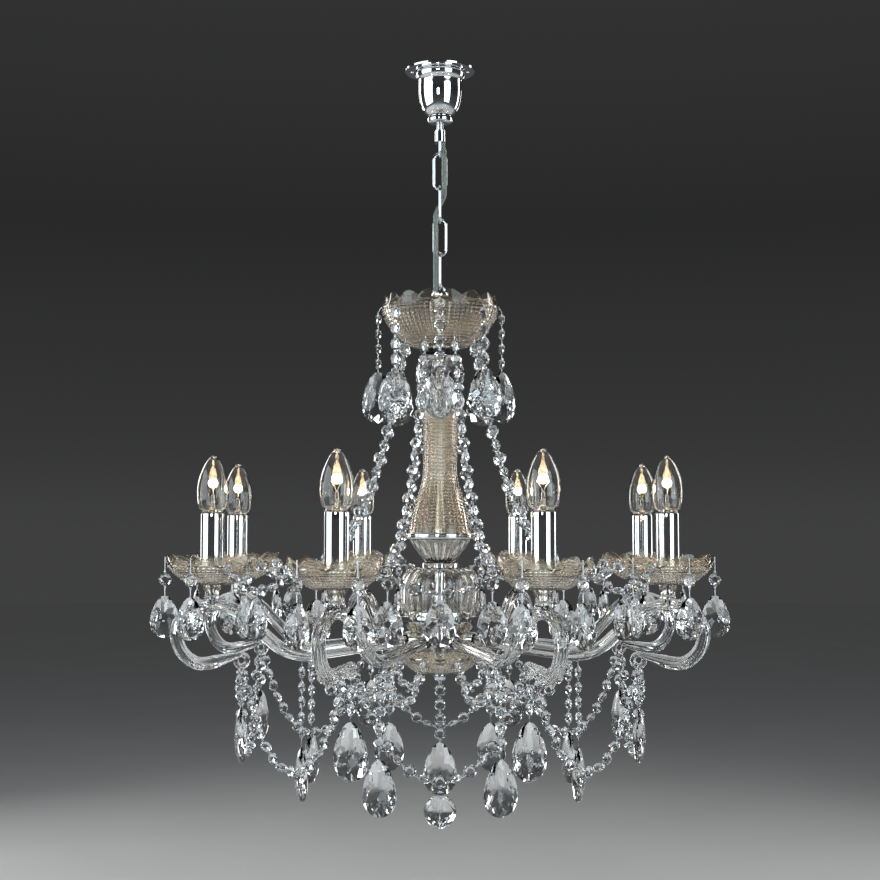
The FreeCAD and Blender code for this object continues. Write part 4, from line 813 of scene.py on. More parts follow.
def bowl(name, node, shape, rim, floor, height, wall, columns, row_pitch, stud_height,
         scallops, scallop_depth, stud_top, hole=STEM_HOLE):
    """A bowl for a CAD node, studded below stud_top (a share of the height), scalloped above."""
    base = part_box(node)[0].z / MM
    flare = rim - floor
    outer = [(floor + flare * out, height * up) for out, up in shape]
    studded = [point for point in outer if point[1] <= height * stud_top]
    plain = [point for point in outer if point[1] >= studded[-1][1]]
    edge = plain[-1]
    mark = {"rim": (height - scallop_depth * 2.1, scallop_depth * 1.6)}
    inner = [(radius - (RIM_WALL if level > height * stud_top else wall), level)
             for radius, level in outer[1:-1]]
    inner = [(outer[1][0] - wall * 1.6, wall + outer[1][1] * 0.6)] + inner[1:]
    fine = row_pitch / STUD_POINTS
    runs = [
        ([(edge[0] - RIM_WALL, edge[1]), (edge[0], edge[1])], 0.8, mark),
        (list(reversed(plain)), 1.0, mark),
        (list(reversed(studded)), fine, {"studs": 1.0}),
        ([(floor, 0.0), (hole, 0.0)], 3.0),
        ([(hole, 0.0), (hole, wall)], 2.0),
        ([(hole, wall), (floor - wall, wall)], 3.0),
        ([(floor - wall, wall)] + inner + [(edge[0] - RIM_WALL, edge[1])], 2.2, mark),
    ]
    shell = turned(name, runs, columns * STUD_POINTS, base)
    return pressed(shell, studded_glass, columns, row_pitch, stud_height, 0, 0.0, scallops,
                   scallop_depth)


DISH_SHAPE = [(0.0, 0.0), (0.38, 0.17), (0.83, 0.51), (0.93, 0.68), (0.985, 0.88), (1.0, 1.0)]
BOWL_SHAPE = [(0.0, 0.0), (0.44, 0.18), (0.78, 0.38), (1.0, 0.6), (1.06, 0.78), (1.0, 1.0)]
CUP_SHAPE = [(0.0, 0.0), (0.55, 0.4), (0.8, 0.62), (1.0, 1.0)]
BOWLS = {
    "top_bowl": ("crown_bowl", BOWL_SHAPE, dict(
        rim=65.4, floor=29.4, height=60.0, wall=3.2, columns=68, row_pitch=4.5, stud_height=1.4,
        scallops=16, scallop_depth=6.8, stud_top=0.8)),
    "hub_cup": ("hub_bowl", CUP_SHAPE, dict(
        rim=40.6, floor=33.6, height=12.5, wall=2.4, columns=50, row_pitch=3.4, stud_height=1.0,
        scallops=10, scallop_depth=5.5, stud_top=0.65)),
    "bottom_dish": ("foot_dish", DISH_SHAPE, dict(
        rim=50.0, floor=21.1, height=30.0, wall=2.6, columns=60, row_pitch=3.8, stud_height=1.1,
        scallops=10, scallop_depth=8.0, stud_top=0.7)),
}
for node, (name, shape, sizes) in BOWLS.items():
    put(bowl(name, node, shape, **sizes), "column", "clear_glass", node)
print("bowls done")

# %% Candle dishes
ARMS = 8
CANDLE_CIRCLE = 270.0
DISH_TURN = 14.0
PIN_HOLE = 3.5


def arm_angle(index):
    """The turn from +X to one arm, in degrees."""
    return -90.0 + (index + 0.5) * 360.0 / ARMS


def to_arm(index, reach=CANDLE_CIRCLE, twist=0.0):
    """The move that takes a piece from the axis out to the candle of one arm."""
    return (Matrix.Rotation(math.radians(arm_angle(index)), 4, "Z")
            @ Matrix.Translation((reach * MM, 0.0, 0.0))
            @ Matrix.Rotation(math.radians(twist), 4, "Z"))


master = bowl("dish", "candle_dishes", DISH_SHAPE, rim=50.0, floor=21.1, height=32.6, wall=2.6,
              columns=60, row_pitch=3.9, stud_height=1.1, scallops=10, scallop_depth=8.0,
              stud_top=0.7, hole=PIN_HOLE)
for index in range(ARMS):
    twist = 90.0 + (-DISH_TURN if index < ARMS / 2 else DISH_TURN)
    dish = moved_copy("drip_dish_%d" % (index + 1), master, to_arm(index, twist=twist))
    put(dish, "column", "clear_glass", "candle_dishes")
bpy.data.objects.remove(master)
print("dishes done")

# %% [markdown]
# ## The glass column
# Below the bowl the stem carries a collar, a cut ball, a flared collar, a long studded baluster,
# a ring, a fluted cone and a bell. Turned glass takes flutes from the mould; the ball is ground,
# so it is made of flat faces instead.

# %% Collars, cone and bell
threaded("bowl_collar", "neck_collar", pressed_glass, "clear_glass", 144, [
    ([(22.0, 0.0), (23.0, -1.5), (23.0, -4.0), (21.4, -7.0), (18.0, -10.0)], 0.8, {"flutes": 1.0}),
    ([(18.0, -10.0), (STEM_HOLE, -10.0)], 3.0),
    ([(STEM_HOLE, -10.0), (STEM_HOLE, 0.0)], 5.0),
    ([(STEM_HOLE, 0.0), (22.0, 0.0)], 3.0),
], flutes=16, flute_depth=1.0)

threaded("flared_collar", "flared_knop", pressed_glass, "clear_glass", 160, [
    ([(20.5, 0.0), (22.4, -2.6), (26.4, -7.0), (28.6, -12.5), (27.2, -18.0), (20.5, -26.0)], 0.9,
     {"flutes": 1.0}),
    ([(20.5, -26.0), (STEM_HOLE, -26.0)], 3.0),
    ([(STEM_HOLE, -26.0), (STEM_HOLE, 0.0)], 6.0),
    ([(STEM_HOLE, 0.0), (20.5, 0.0)], 3.0),
], flutes=20, flute_depth=1.2)

threaded("fluted_cone", "fan_cone", pressed_glass, "clear_glass", 196, [
    ([(35.3, 0.0), (33.6, -3.6), (27.5, -13.0), (18.6, -24.4)], 1.0, {"flutes": 1.0}),
    ([(18.6, -24.4), (18.2, -26.0), (20.6, -27.6), (21.0, -30.0), (20.8, -33.0)], 0.8),
    ([(20.8, -33.0), (STEM_HOLE, -33.0)], 3.0),
    ([(STEM_HOLE, -33.0), (STEM_HOLE, -26.4), (14.0, -23.1), (31.5, 0.0)], 3.0),
    ([(31.5, 0.0), (35.3, 0.0)], 1.5),
], flutes=28, flute_depth=1.3)

threaded("glass_bell", "hub_bell", pressed_glass, "clear_glass", 196, [
    ([(STEM_HOLE, 0.0), (21.0, 0.0)], 3.0),
    ([(21.0, 0.0), (30.0, -0.6), (36.8, -3.0), (42.0, -8.6), (45.0, -17.0), (46.4, -32.0),
      (45.2, -56.2)], 1.2, {"flutes": 1.0}),
    ([(45.2, -56.2), (42.3, -56.2)], 1.5),
    ([(42.3, -56.2), (43.2, -32.0), (41.2, -16.0), (36.4, -7.4), (29.6, -3.8), (21.0, -3.5)], 1.4,
     {"flutes": -1.0}),
    ([(21.0, -3.5), (STEM_HOLE, -3.5)], 3.0),
    ([(STEM_HOLE, -3.5), (STEM_HOLE, 0.0)], 3.5),
], flutes=14, flute_depth=2.2)

# %% Baluster
WAIST, SPREAD, LENGTH = 20.2, 16.8, 141.0
SHAFT_COLUMNS = 40
BALUSTER_LINE = [(0.06, 0.0), (0.09, 0.04), (0.03, 0.12), (0.0, 0.28), (0.0, 0.5), (0.18, 0.61),
                 (0.48, 0.72), (0.76, 0.83), (0.93, 0.93), (1.0, 1.0)]
baluster_outer = [(WAIST - 0.8 + SPREAD * out, -LENGTH * down) for out, down in BALUSTER_LINE]
baluster_inner = [(radius - 3.4, level) for radius, level in reversed(baluster_outer)]
threaded("baluster", "studded_baluster", studded_glass, "clear_glass",
         SHAFT_COLUMNS * STUD_POINTS, [
    (baluster_outer, 0.68, {"studs": 1.0}),
    ([baluster_outer[-1], baluster_inner[0]], 1.7),
    (baluster_inner, 4.0),
    ([baluster_inner[-1], baluster_outer[0]], 1.7),
], columns=SHAFT_COLUMNS, row_pitch=4.2, stud_height=1.0)

# %% Cut ball
BALL_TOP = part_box("glass_ball")[1].z / MM
BALL_LINE = [(17.8, 0.0), (24.2, -4.0), (27.8, -11.2), (28.7, -20.0), (27.8, -28.8), (24.2, -36.0),
             (17.8, -40.0)]


def lattice(rings, sides, base, hole):
    """A solid of flat triangles through rings of points, each ring half a step on from the last."""
    points, faces = [], []
    for level, (radius, height) in enumerate(rings):
        for side in range(sides):
            angle = 2 * math.pi * (side + level / 2) / sides
            points.append((radius * math.cos(angle) * MM, radius * math.sin(angle) * MM,
                           (base + height) * MM))
    for level in range(len(rings) - 1):
        low, high = (level + 1) * sides, level * sides
        for side in range(sides):
            after = (side + 1) % sides
            faces.append((high + side, low + side, high + after))
            faces.append((high + after, low + side, low + after))
    bore = len(points)
    for height in (rings[0][1], rings[-1][1]):
        shift = 0 if height == rings[0][1] else (len(rings) - 1) / 2
        for side in range(sides):
            angle = 2 * math.pi * (side + shift) / sides
            points.append((hole * math.cos(angle) * MM, hole * math.sin(angle) * MM,
                           (base + height) * MM))
    last = (len(rings) - 1) * sides
    for side in range(sides):
        after = (side + 1) % sides
        faces.append((side, after, bore + after, bore + side))
        faces.append((last + side, bore + sides + side, bore + sides + after, last + after))
        faces.append((bore + side, bore + after, bore + sides + after, bore + sides + side))
    return points, faces


points, faces = lattice(BALL_LINE, 14, BALL_TOP, STEM_HOLE)
ball = link_piece("cut_ball", mesh_from("cut_ball", points, faces, smooth=False), [pressed_glass])
put(ball, "column", "clear_glass", "glass_ball")

# %% Ring, drum and finial
threaded("ring_plate", "column_ring", chrome, "chrome", TURN_SIDES, [
    ([(38.4, 0.0), (39.8, -0.5), (40.3, -1.7)], 0.5),
    ([(40.3, -1.7), (40.3, -2.6), (39.5, -3.4), (40.3, -4.2), (40.3, -5.1)], 0.3),
    ([(40.3, -5.1), (39.8, -6.3), (38.4, -6.8)], 0.5),
    ([(38.4, -6.8), (STEM_HOLE, -6.8)], 5.0),
    ([(STEM_HOLE, -6.8), (STEM_HOLE, 0.0)], 3.4),
    ([(STEM_HOLE, 0.0), (38.4, 0.0)], 5.0),
])

threaded("hub_drum", "hub_spinning", chrome, "chrome", TURN_SIDES, [
    ([(6.5, 0.0), (6.5, -46.7)], 12.0),
    ([(6.5, -46.7), (35.0, -46.7)], 6.0),
    ([(35.0, -46.7), (36.2, -47.1), (36.5, -48.2)], 0.5),
    ([(36.5, -48.2), (36.5, -59.2)], 4.0),
    ([(36.5, -59.2), (35.6, -62.0), (32.8, -65.2), (29.0, -67.7)], 1.0),
    ([(29.0, -67.7), (STEM_HOLE, -67.7)], 6.0),
    ([(STEM_HOLE, -67.7), (STEM_HOLE, 0.0)], 20.0),
    ([(STEM_HOLE, 0.0), (6.5, 0.0)], 1.2),
])

FINIAL_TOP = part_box("bottom_finial")[1].z / MM
finial_cap = turned("finial_cap", [
    ([(STEM_HOLE, 0.0), (6.2, 0.0)], 1.0),
    ([(6.2, 0.0), (6.9, -0.4), (7.0, -1.4), (7.0, -4.2), (6.4, -7.7)], 0.5),
    ([(6.4, -7.7), (5.2, -7.7)], 0.6),
    ([(5.2, -7.7), (5.2, -4.2)], 1.5),
    ([(5.2, -4.2), (0.0, -4.2)], 1.5),
    ([(0.0, -4.2), (0.0, -3.0)], 1.2),
    ([(0.0, -3.0), (STEM_HOLE, -3.0)], 1.5),
    ([(STEM_HOLE, -3.0), (STEM_HOLE, 0.0)], 1.5),
], 48, FINIAL_TOP)
EYE_RADIUS, EYE_WIRE = 1.9, 0.6
eye_middle = Z * ((FINIAL_TOP - 4.2 - EYE_RADIUS - 0.2) * MM)
finial_eye = swept("finial_eye", arc_points(eye_middle, Y, Z, EYE_RADIUS * MM, 0, 345, 23),
                   EYE_WIRE, chrome, 10, closed=True)
put(joined("finial", [pressed(finial_cap, chrome), finial_eye]), "column", "chrome",
    "bottom_finial")
print("column done")

# %% [markdown]
# ## Glass arms
# An arm is a clear glass tube drawn with shallow lengthwise flutes, then bent while soft: level
# out of the hub, a dip, a climb to the crest under the candle, and down into a small scroll. Its
# line is a chain of straight lengths and bends, as the glassworker makes it. The bore for the
# wire ends under the candle, and the rest is solid and tapers.

# %% Arm line
ARM_HEIGHT = -671.4
ARM_START = 22.5
ARM_RADIUS, ARM_BORE, ARM_TIP = 7.2, 3.6, 3.2
CREST_STEP, TAPER_STEP = 6, 11
DIP_TURN = 6.2
ARM_PACE = 4.0


def arm_bends(run):
    """The steps of an arm: (length,) is straight and (radius, turn) is a bend, up if positive."""
    return [(19.5,), (80.0, -DIP_TURN), (run,), (60.0, 48.2), (40.0,), (58.0, -42.0), (45.0, -50.0),
            (20.0, -40.0), (36.0, -60.0), (22.0, -30.0), (60.0, -14.0), (27.0,), (13.0, 14.0),
            (6.5, 290.0)]


def follow_bends(bends, pace):
    """Points (x, z, step) along the bends, about one pace apart."""
    x, z, heading = ARM_START, ARM_HEIGHT, 0.0
    line = [(x, z, 0)]
    marks = []
    for number, bend in enumerate(bends):
        if len(bend) == 1:
            count = max(1, round(bend[0] / pace))
            for k in range(1, count + 1):
                reach = bend[0] * k / count
                line.append((x + reach * math.cos(heading), z + reach * math.sin(heading), number))
        else:
            turn = math.radians(bend[1])
            radius = math.copysign(bend[0], turn)
            centre = (x - radius * math.sin(heading), z + radius * math.cos(heading))
            count = max(3, round(abs(bend[0] * turn) / pace), round(abs(bend[1]) / 9.0))
            for k in range(1, count + 1):
                angle = heading + turn * k / count
                line.append((centre[0] + radius * math.sin(angle),
                             centre[1] - radius * math.cos(angle), number))
            heading += turn
        x, z = line[-1][:2]
        marks.append((x, z))
    return line, marks


trial = follow_bends(arm_bends(1.0), ARM_PACE)[1]
missing = CANDLE_CIRCLE - trial[CREST_STEP - 1][0]
run = 1.0 + missing / math.cos(math.radians(DIP_TURN))
arm_line, arm_marks = follow_bends(arm_bends(run), ARM_PACE)
print("crest at %.1f mm" % arm_marks[CREST_STEP - 1][1])

# %% Arms
arm_points = [Vector((x * MM, 0.0, z * MM)) for x, z, _ in arm_line]
arm_radii = []
taper_start = next(k for k, point in enumerate(arm_line) if point[2] == TAPER_STEP) - 1
taper_end = max(k for k, point in enumerate(arm_line) if point[2] == TAPER_STEP)
for k in range(len(arm_line)):
    share = min(1.0, max(0.0, (k - taper_start) / (taper_end - taper_start)))
    arm_radii.append(1.0 + (ARM_TIP / ARM_RADIUS - 1.0) * share)
ARM_FLUTES = 9
tube = swept("tube", arm_points, ARM_RADIUS, arm_glass, ARM_FLUTES * 8, radii=arm_radii,
             flutes=ARM_FLUTES, flute_depth=0.9)
bore_points = [point for point, (x, z, step) in zip(arm_points, arm_line) if step < CREST_STEP]
bore_points[0] = bore_points[0] + X * MM
bore = swept("bore", bore_points, ARM_BORE, arm_glass, 20)
bore.data.flip_normals()
arm_master = joined("arm", [tube, bore])
arm_master.data.shade_smooth()
arm_master.data.set_sharp_from_angle(angle=math.radians(50.0))
for index in range(ARMS):
    arm = moved_copy("drawn_arm_%d" % (index + 1), arm_master, to_arm(index, reach=0.0))
    put(arm, "column", "clear_glass", "glass_arm_%d" % (index + 1))
bpy.data.objects.remove(arm_master)
print("arms done")

# %% [markdown]
# ## Candles
# On each crest stands a small fluted glass cup, then the dish, then a chromed tube with the
# lampholder inside. The bulb is thin clear glass drawn to a point. Inside it a glass stem holds
# two wires, and a coiled filament glows between them.

# %% Cups and sleeves
CUP_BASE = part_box("candle_cups")[0].z / MM
CUP_HEIGHT = 14.9
cup_master = turned("cup", [
    ([(8.6, 0.0), (7.8, 2.6), (7.6, 5.2), (8.6, 9.0), (9.8, 12.6), (10.0, CUP_HEIGHT)], 0.7,
     {"flutes": 1.0}),
    ([(10.0, CUP_HEIGHT), (PIN_HOLE, CUP_HEIGHT)], 2.0),
    ([(PIN_HOLE, CUP_HEIGHT), (PIN_HOLE, 0.0)], 5.0),
    ([(PIN_HOLE, 0.0), (8.6, 0.0)], 2.0),
], 72, CUP_BASE)
pressed(cup_master, pressed_glass, flutes=12, flute_depth=0.8)
cups = joined("stand_cups", [moved_copy("cup_copy", cup_master, to_arm(k)) for k in range(ARMS)])
put(cups, "column", "clear_glass", "candle_cups")
bpy.data.objects.remove(cup_master)

sleeve_low, sleeve_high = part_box("candle_sleeves")
SLEEVE_BASE = sleeve_low.z / MM
SLEEVE = (sleeve_high.z - sleeve_low.z) / MM
sleeve_master = turned("sleeve", [
    ([(12.9, 0.0), (12.9, SLEEVE - 0.5)], 8.0),
    ([(12.9, SLEEVE - 0.5), (12.7, SLEEVE), (12.2, SLEEVE), (12.0, SLEEVE - 0.5)], 0.3),
    ([(12.0, SLEEVE - 0.5), (12.0, 0.0)], 12.0),
    ([(12.0, 0.0), (12.9, 0.0)], 1.0),
], 64, SLEEVE_BASE)
pressed(sleeve_master, chrome)
sleeves = joined("candle_tubes", [moved_copy("tube_copy", sleeve_master, to_arm(k))
                                  for k in range(ARMS)])
put(sleeves, "column", "chrome", "candle_sleeves")
bpy.data.objects.remove(sleeve_master)

# %% Bulbs
bulb_low, bulb_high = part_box("bulb_1")
BULB_TOP = bulb_high.z / MM
BULB_HEIGHT = 64.0
BULB_BASE = BULB_TOP - BULB_HEIGHT
COIL_LEVEL, COIL_REACH, COIL_RISE, COIL_RADIUS = 30.0, 6.3, 3.4, 0.95
COIL_TURNS, COIL_STEPS = 11, 10
CAP_BOTTOM = bulb_low.z / MM - BULB_BASE
BULB_LINE = [(12.5, 0.0), (14.9, 5.0), (16.8, 12.0), (17.5, 21.0), (16.9, 31.0), (14.2, 42.0),
             (9.6, 53.0), (5.0, 60.0), (2.2, 63.0), (0.0, 64.0)]


def bulb_shell():
    """The envelope: its outside and the hollow inside, as two closed skins."""
    outside = turned("bulb_out", [
        ([(0.0, 64.0)] + list(reversed(BULB_LINE[:-1])), 1.5),
        ([BULB_LINE[0], (7.0, -0.2)], 1.5),
        ([(7.0, -0.2), (0.0, -0.2)], 2.5),
    ], 40, BULB_BASE)
    hollow_line = [(max(radius - 0.8, 0.0), level) for radius, level in BULB_LINE[1:-2]]
    inside = turned("bulb_in", [
        ([(0.0, 61.0)] + list(reversed(hollow_line)), 2.0),
        ([hollow_line[0], (11.0, 0.9)], 1.5),
        ([(11.0, 0.9), (0.0, 0.9)], 3.0),
    ], 40, BULB_BASE)
    inside.data.flip_normals()
    return [pressed(outside, bulb_glass), pressed(inside, bulb_glass)]


def bulb_parts():
    """The envelope, the screw cap, the glass stem, the support wires and the filament."""
    parts = bulb_shell()
    ridge = []
    for k in range(5):
        z = CAP_BOTTOM + 5.0 + k * 3.6
        ridge += [(6.3, z), (6.9, z + 1.8)]
    ridge.append((6.3, CAP_BOTTOM + 23.0))
    cap = turned("screw_cap", [
        ([(0.0, CAP_BOTTOM), (2.6, CAP_BOTTOM), (4.0, CAP_BOTTOM + 1.4),
          (6.2, CAP_BOTTOM + 4.0)], 1.0),
        ([(6.2, CAP_BOTTOM + 4.0)] + ridge + [(6.6, -0.3)], 0.9),
        ([(6.6, -0.3), (0.0, -0.3)], 2.5),
    ], 32, BULB_BASE)
    parts.append(pressed(cap, nickel))
    foot = turned("press", [
        ([(5.2, 1.0), (3.2, 5.0), (2.0, 12.0), (1.7, 20.0), (0.0, 21.5)], 1.0),
        ([(0.0, 21.5), (0.0, 1.0)], 30.0),
        ([(0.0, 1.0), (5.2, 1.0)], 2.5),
    ], 20, BULB_BASE)
    parts.append(pressed(foot, bulb_glass))
    for side in (-1, 1):
        corners = [(side * 0.9, 20.4), (side * 2.2, 24.5), (side * 6.3, 30.0)]
        wire = [Vector((x * MM, 0.0, (BULB_BASE + z) * MM)) for x, z in smooth_run(corners, 1.5)]
        parts.append(swept("support", wire, 0.28, nickel, 6))
    coil = []
    for k in range(COIL_TURNS * COIL_STEPS + 1):
        share = k / (COIL_TURNS * COIL_STEPS)
        angle = 2 * math.pi * k / COIL_STEPS
        rise = COIL_RISE * math.sin(math.pi * share)
        coil.append(Vector(((-COIL_REACH + 2 * COIL_REACH * share) * MM,
                            COIL_RADIUS * math.sin(angle) * MM,
                            (BULB_BASE + COIL_LEVEL + rise + COIL_RADIUS * math.cos(angle)) * MM)))
    parts.append(swept("filament", coil, 0.3, glow, 6))
    return parts


bulb_master = joined("bulb", bulb_parts())
for index in range(ARMS):
    spin = 90.0 + 25.0 * (index % 3 - 1)
    bulb = moved_copy("candle_bulb_%d" % (index + 1), bulb_master, to_arm(index, twist=spin))
    put(bulb, "bulb_%d" % (index + 1), "bulb_glass", "bulb_%d" % (index + 1))
bpy.data.objects.remove(bulb_master)
print("candles done")

# %% [markdown]
# ## Crystals
# Octagon beads, almonds and a ball are ground with flat faces, so they are modelled as a cutter
# lays them out: rings of corners, each turned half a step from the last, with kites and triangles
# between. The frame already holds every stone's place. Its separate lumps are measured here:
# the middle and the three main directions of each give a point and a turn, and a node tree
# hangs the finer stone and its wire loops there.

# %% Cutting the stones
def outward(mesh):
    """Turn every face of a closed mesh outwards."""
    solid = bmesh.new()
    solid.from_mesh(mesh)
    bmesh.ops.recalc_face_normals(solid, faces=solid.faces)
    solid.to_mesh(mesh)
    solid.free()


def cut_stone(name, outline, sides, shares, depths):
    """A two-sided stone: a thin girdle, kites and triangles, and a flat table on each side."""
    points, faces = [], []
    girdles = []
    for sign in (-1, 1):
        start = len(points)
        for level, (share, depth) in enumerate(zip(shares, depths)):
            for side in range(sides):
                x, z = outline(2 * math.pi * (side + level / 2) / sides)
                points.append((x * share * MM, sign * depth * MM, z * share * MM))
        between = len(points)
        for side in range(sides):
            x, z = outline(2 * math.pi * (side + 0.5) / sides)
            points.append((x * MM, sign * depths[0] * MM, z * MM))

        def at(level, side):
            return start + level * sides + side % sides

        half = []
        for side in range(sides):
            half.append((at(0, side), between + side, at(1, side)))
            half.append((between + side, at(0, side + 1), at(1, side)))
            for level in range(len(shares) - 2):
                half.append((at(level, side + 1), at(level + 1, side + 1), at(level + 2, side),
                             at(level + 1, side)))
            last = len(shares) - 1
            half.append((at(last - 1, side + 1), at(last, side + 1), at(last, side)))
        half.append(tuple(at(len(shares) - 1, side) for side in range(sides)))
        faces += [face if sign < 0 else tuple(reversed(face)) for face in half]
        girdles.append([point for side in range(sides) for point in (at(0, side), between + side)])
    front, back = girdles
    for side in range(2 * sides):
        after = (side + 1) % (2 * sides)
        faces.append((front[after], front[side], back[side], back[after]))
    mesh = mesh_from(name, points, faces, smooth=False)
    outward(mesh)
    return link_piece(name, mesh, [cut_crystal])


def octagon(angle):
    """The outline of a bead, with eight straight sides."""
    reach = 1.0 / (math.cos(angle % (math.pi / 4) - math.pi / 8) / math.cos(math.pi / 8))
    return 6.95 * reach * math.sin(angle), 7.1 * reach * math.cos(angle)


def almond_outline(length, width):
    """The outline of an almond, narrower at its top."""
    def at(angle):
        return (width / 2 * math.sin(angle) * (1 - 0.28 * math.cos(angle)),
                length / 2 * math.cos(angle))
    return at


bead_stone = cut_stone("bead_stone", octagon, 8, [1.0, 0.80, 0.50], [0.7, 2.1, 3.4])
big_almond = cut_stone("big_almond", almond_outline(60.4, 37.6), 10, [1.0, 0.85, 0.62, 0.36, 0.10],
                       [0.8, 2.7, 4.4, 5.6, 6.4])
small_almond = cut_stone("small_almond", almond_outline(46.2, 31.2), 9, [1.0, 0.83, 0.54, 0.18],
                         [0.7, 2.4, 3.9, 4.9])
BALL_RADIUS, BALL_BANDS, BALL_SIDES = 19.2, 9, 12
ball_rings = [(BALL_RADIUS * math.sin(math.pi * k / BALL_BANDS),
               BALL_RADIUS * math.cos(math.pi * k / BALL_BANDS))
              for k in range(BALL_BANDS - 1, 0, -1)]
points, faces = lattice(ball_rings, BALL_SIDES, 0.0, 1.0)
drop_ball = link_piece("drop_ball", mesh_from("drop_ball", points, faces, smooth=False),
                       [cut_crystal])
outward(drop_ball.data)

# %% Wire loops and hooks
def loop_line(low, high, width, across):
    """A long loop of wire between two heights, in metres."""
    middle, tall = (low + high) / 2, (high - low) / 2
    return [Z * (middle + tall * math.sin(a)) * MM + across * width * math.cos(a) * MM
            for a in np.linspace(0, 2 * math.pi, 8, endpoint=False)]


loops = [swept("loop", loop_line(low, high, 1.1, X), 0.38, hook_metal, 4, closed=True)
         for low, high in ((5.7, 9.7), (-9.7, -5.7))]
bead_loops = joined("bead_loops", loops)
hook_wire = swept("hook_wire_unit", [Z * -0.5, Z * 0.5], 0.6, hook_metal, 8)
drop_ring = swept("drop_ring", arc_points(Vector((0, 0, 0)), Z, X, EYE_RADIUS * MM, 0, 345, 15),
                  EYE_WIRE, hook_metal, 8, closed=True)


# %% Finding the stones in the frame
def lumps_of(node):
    """The separate lumps of a CAD node: (count of corners, middle, directions, lengths)."""
    mesh = frame["nodes"][node].data
    places = np.empty(len(mesh.vertices) * 3)
    mesh.vertices.foreach_get("co", places)
    corners = np.empty(len(mesh.loops), int)
    mesh.loops.foreach_get("vertex_index", corners)
    unique, index = np.unique(np.round(places.reshape(-1, 3), 6), axis=0, return_inverse=True)
    triangles = index.reshape(-1)[corners].reshape(-1, 3)
    label = np.arange(len(unique))
    while True:
        least = label[triangles].min(axis=1)
        fresh = label.copy()
        for column in range(3):
            np.minimum.at(fresh, triangles[:, column], least)
        fresh = fresh[fresh]
        if (fresh == label).all():
            break
        label = fresh
    lumps = []
    for value in np.unique(label):
        points = unique[label == value]
        middle = points.mean(axis=0)
        directions = np.linalg.svd(points - middle, full_matrices=False)[2]
        along = (points - middle) @ directions.T
        lumps.append((len(points), middle, directions, np.ptp(along, axis=0)))
    return lumps


BEAD_KIND, BIG_KIND, SMALL_KIND, BALL_KIND, WIRE_KIND, RING_KIND = range(6)
BEAD_CORNERS, ALMOND_CORNERS = 24, 36
WIRE_WIDTH, BIG_LENGTH, BALL_LENGTH = 0.003, 0.054, 0.03
WIRE_STRETCH = 1.12


def kind_of(count, lengths):
    """Which stone a lump is, from its corners and its size."""
    if lengths[1] < WIRE_WIDTH:
        return WIRE_KIND
    if count == BEAD_CORNERS:
        return BEAD_KIND
    if count == ALMOND_CORNERS:
        return BIG_KIND if lengths[0] > BIG_LENGTH else SMALL_KIND
    return BALL_KIND if lengths[0] > BALL_LENGTH else RING_KIND


def points_for(node, name):
    """A cloud of points with the kind, the turn and the stretch of each stone."""
    places, kinds, turns, stretches = [], [], [], []
    for count, middle, directions, lengths in lumps_of(node):
        kind = kind_of(count, lengths)
        z_axis = Vector(directions[0]) if kind not in (BALL_KIND, RING_KIND) else Z.copy()
        if z_axis.z < 0:
            z_axis.negate()
        y_axis = Vector(directions[2]) if kind not in (BALL_KIND, RING_KIND) else Y.copy()
        if y_axis.y > 0:
            y_axis.negate()
        x_axis = y_axis.cross(z_axis).normalized()
        y_axis = z_axis.cross(x_axis)
        turn = Matrix((x_axis, y_axis, z_axis)).transposed().to_euler()
        places.append(middle)
        kinds.append(kind)
        turns += list(turn)
        stretches += [1.0, 1.0, lengths[0] * WIRE_STRETCH if kind == WIRE_KIND else 1.0]
    mesh = bpy.data.meshes.new(name)
    mesh.from_pydata([tuple(place) for place in places], [], [])
    mesh.attributes.new("kind", "INT", "POINT").data.foreach_set("value", kinds)
    mesh.attributes.new("turn", "FLOAT_VECTOR", "POINT").data.foreach_set("vector", turns)
    mesh.attributes.new("stretch", "FLOAT_VECTOR", "POINT").data.foreach_set("vector", stretches)
    return link_piece(name, mesh), kinds


# %% The tree that hangs the stones
def strung_tree():
    """Each kind of stone on its own points, turned and stretched, then made real."""
    stones = ["Bead", "Big Almond", "Small Almond", "Ball"]
    metals = [("Loops", BEAD_KIND), ("Wire", WIRE_KIND), ("Ring", RING_KIND)]
    tree = Tree("strung_stones", [(name, "Object") for name in stones]
                + [(name, "Object") for name, _ in metals]
                + [("Crystal", "Material"), ("Metal", "Material")])
    given = tree.source
    kind = tree.field("kind", "INT")
    turn = tree.add("FunctionNodeEulerToRotation", {0: tree.field("turn", "FLOAT_VECTOR")})
    stretch = tree.field("stretch", "FLOAT_VECTOR")

    def hung(name, value):
        shape = tree.add("GeometryNodeObjectInfo", {"Object": given[name]})
        chosen = tree.add("FunctionNodeCompare", {2: kind, 3: value}, data_type="INT",
                          operation="EQUAL")
        return tree.add("GeometryNodeInstanceOnPoints", {
            "Points": given["Geometry"], "Selection": chosen.outputs[0],
            "Instance": shape.outputs["Geometry"], "Rotation": turn.outputs[0],
            "Scale": stretch}).outputs[0]

    def finished(sockets, material):
        join = tree.add("GeometryNodeJoinGeometry")
        for socket in sockets:
            tree.group.links.new(socket, join.inputs[0])
        real = tree.add("GeometryNodeRealizeInstances", {"Geometry": join.outputs[0]})
        return tree.add("GeometryNodeSetMaterial", {"Geometry": real.outputs[0],
                                                    "Material": given[material]}).outputs[0]

    cut = finished([hung(name, value) for value, name in enumerate(stones)], "Crystal")
    wired = finished([hung(name, value) for name, value in metals], "Metal")
    both = tree.add("GeometryNodeJoinGeometry")
    for socket in (cut, wired):
        tree.group.links.new(socket, both.inputs[0])
    return tree.end(both.outputs[0])


STRUNG = strung_tree()

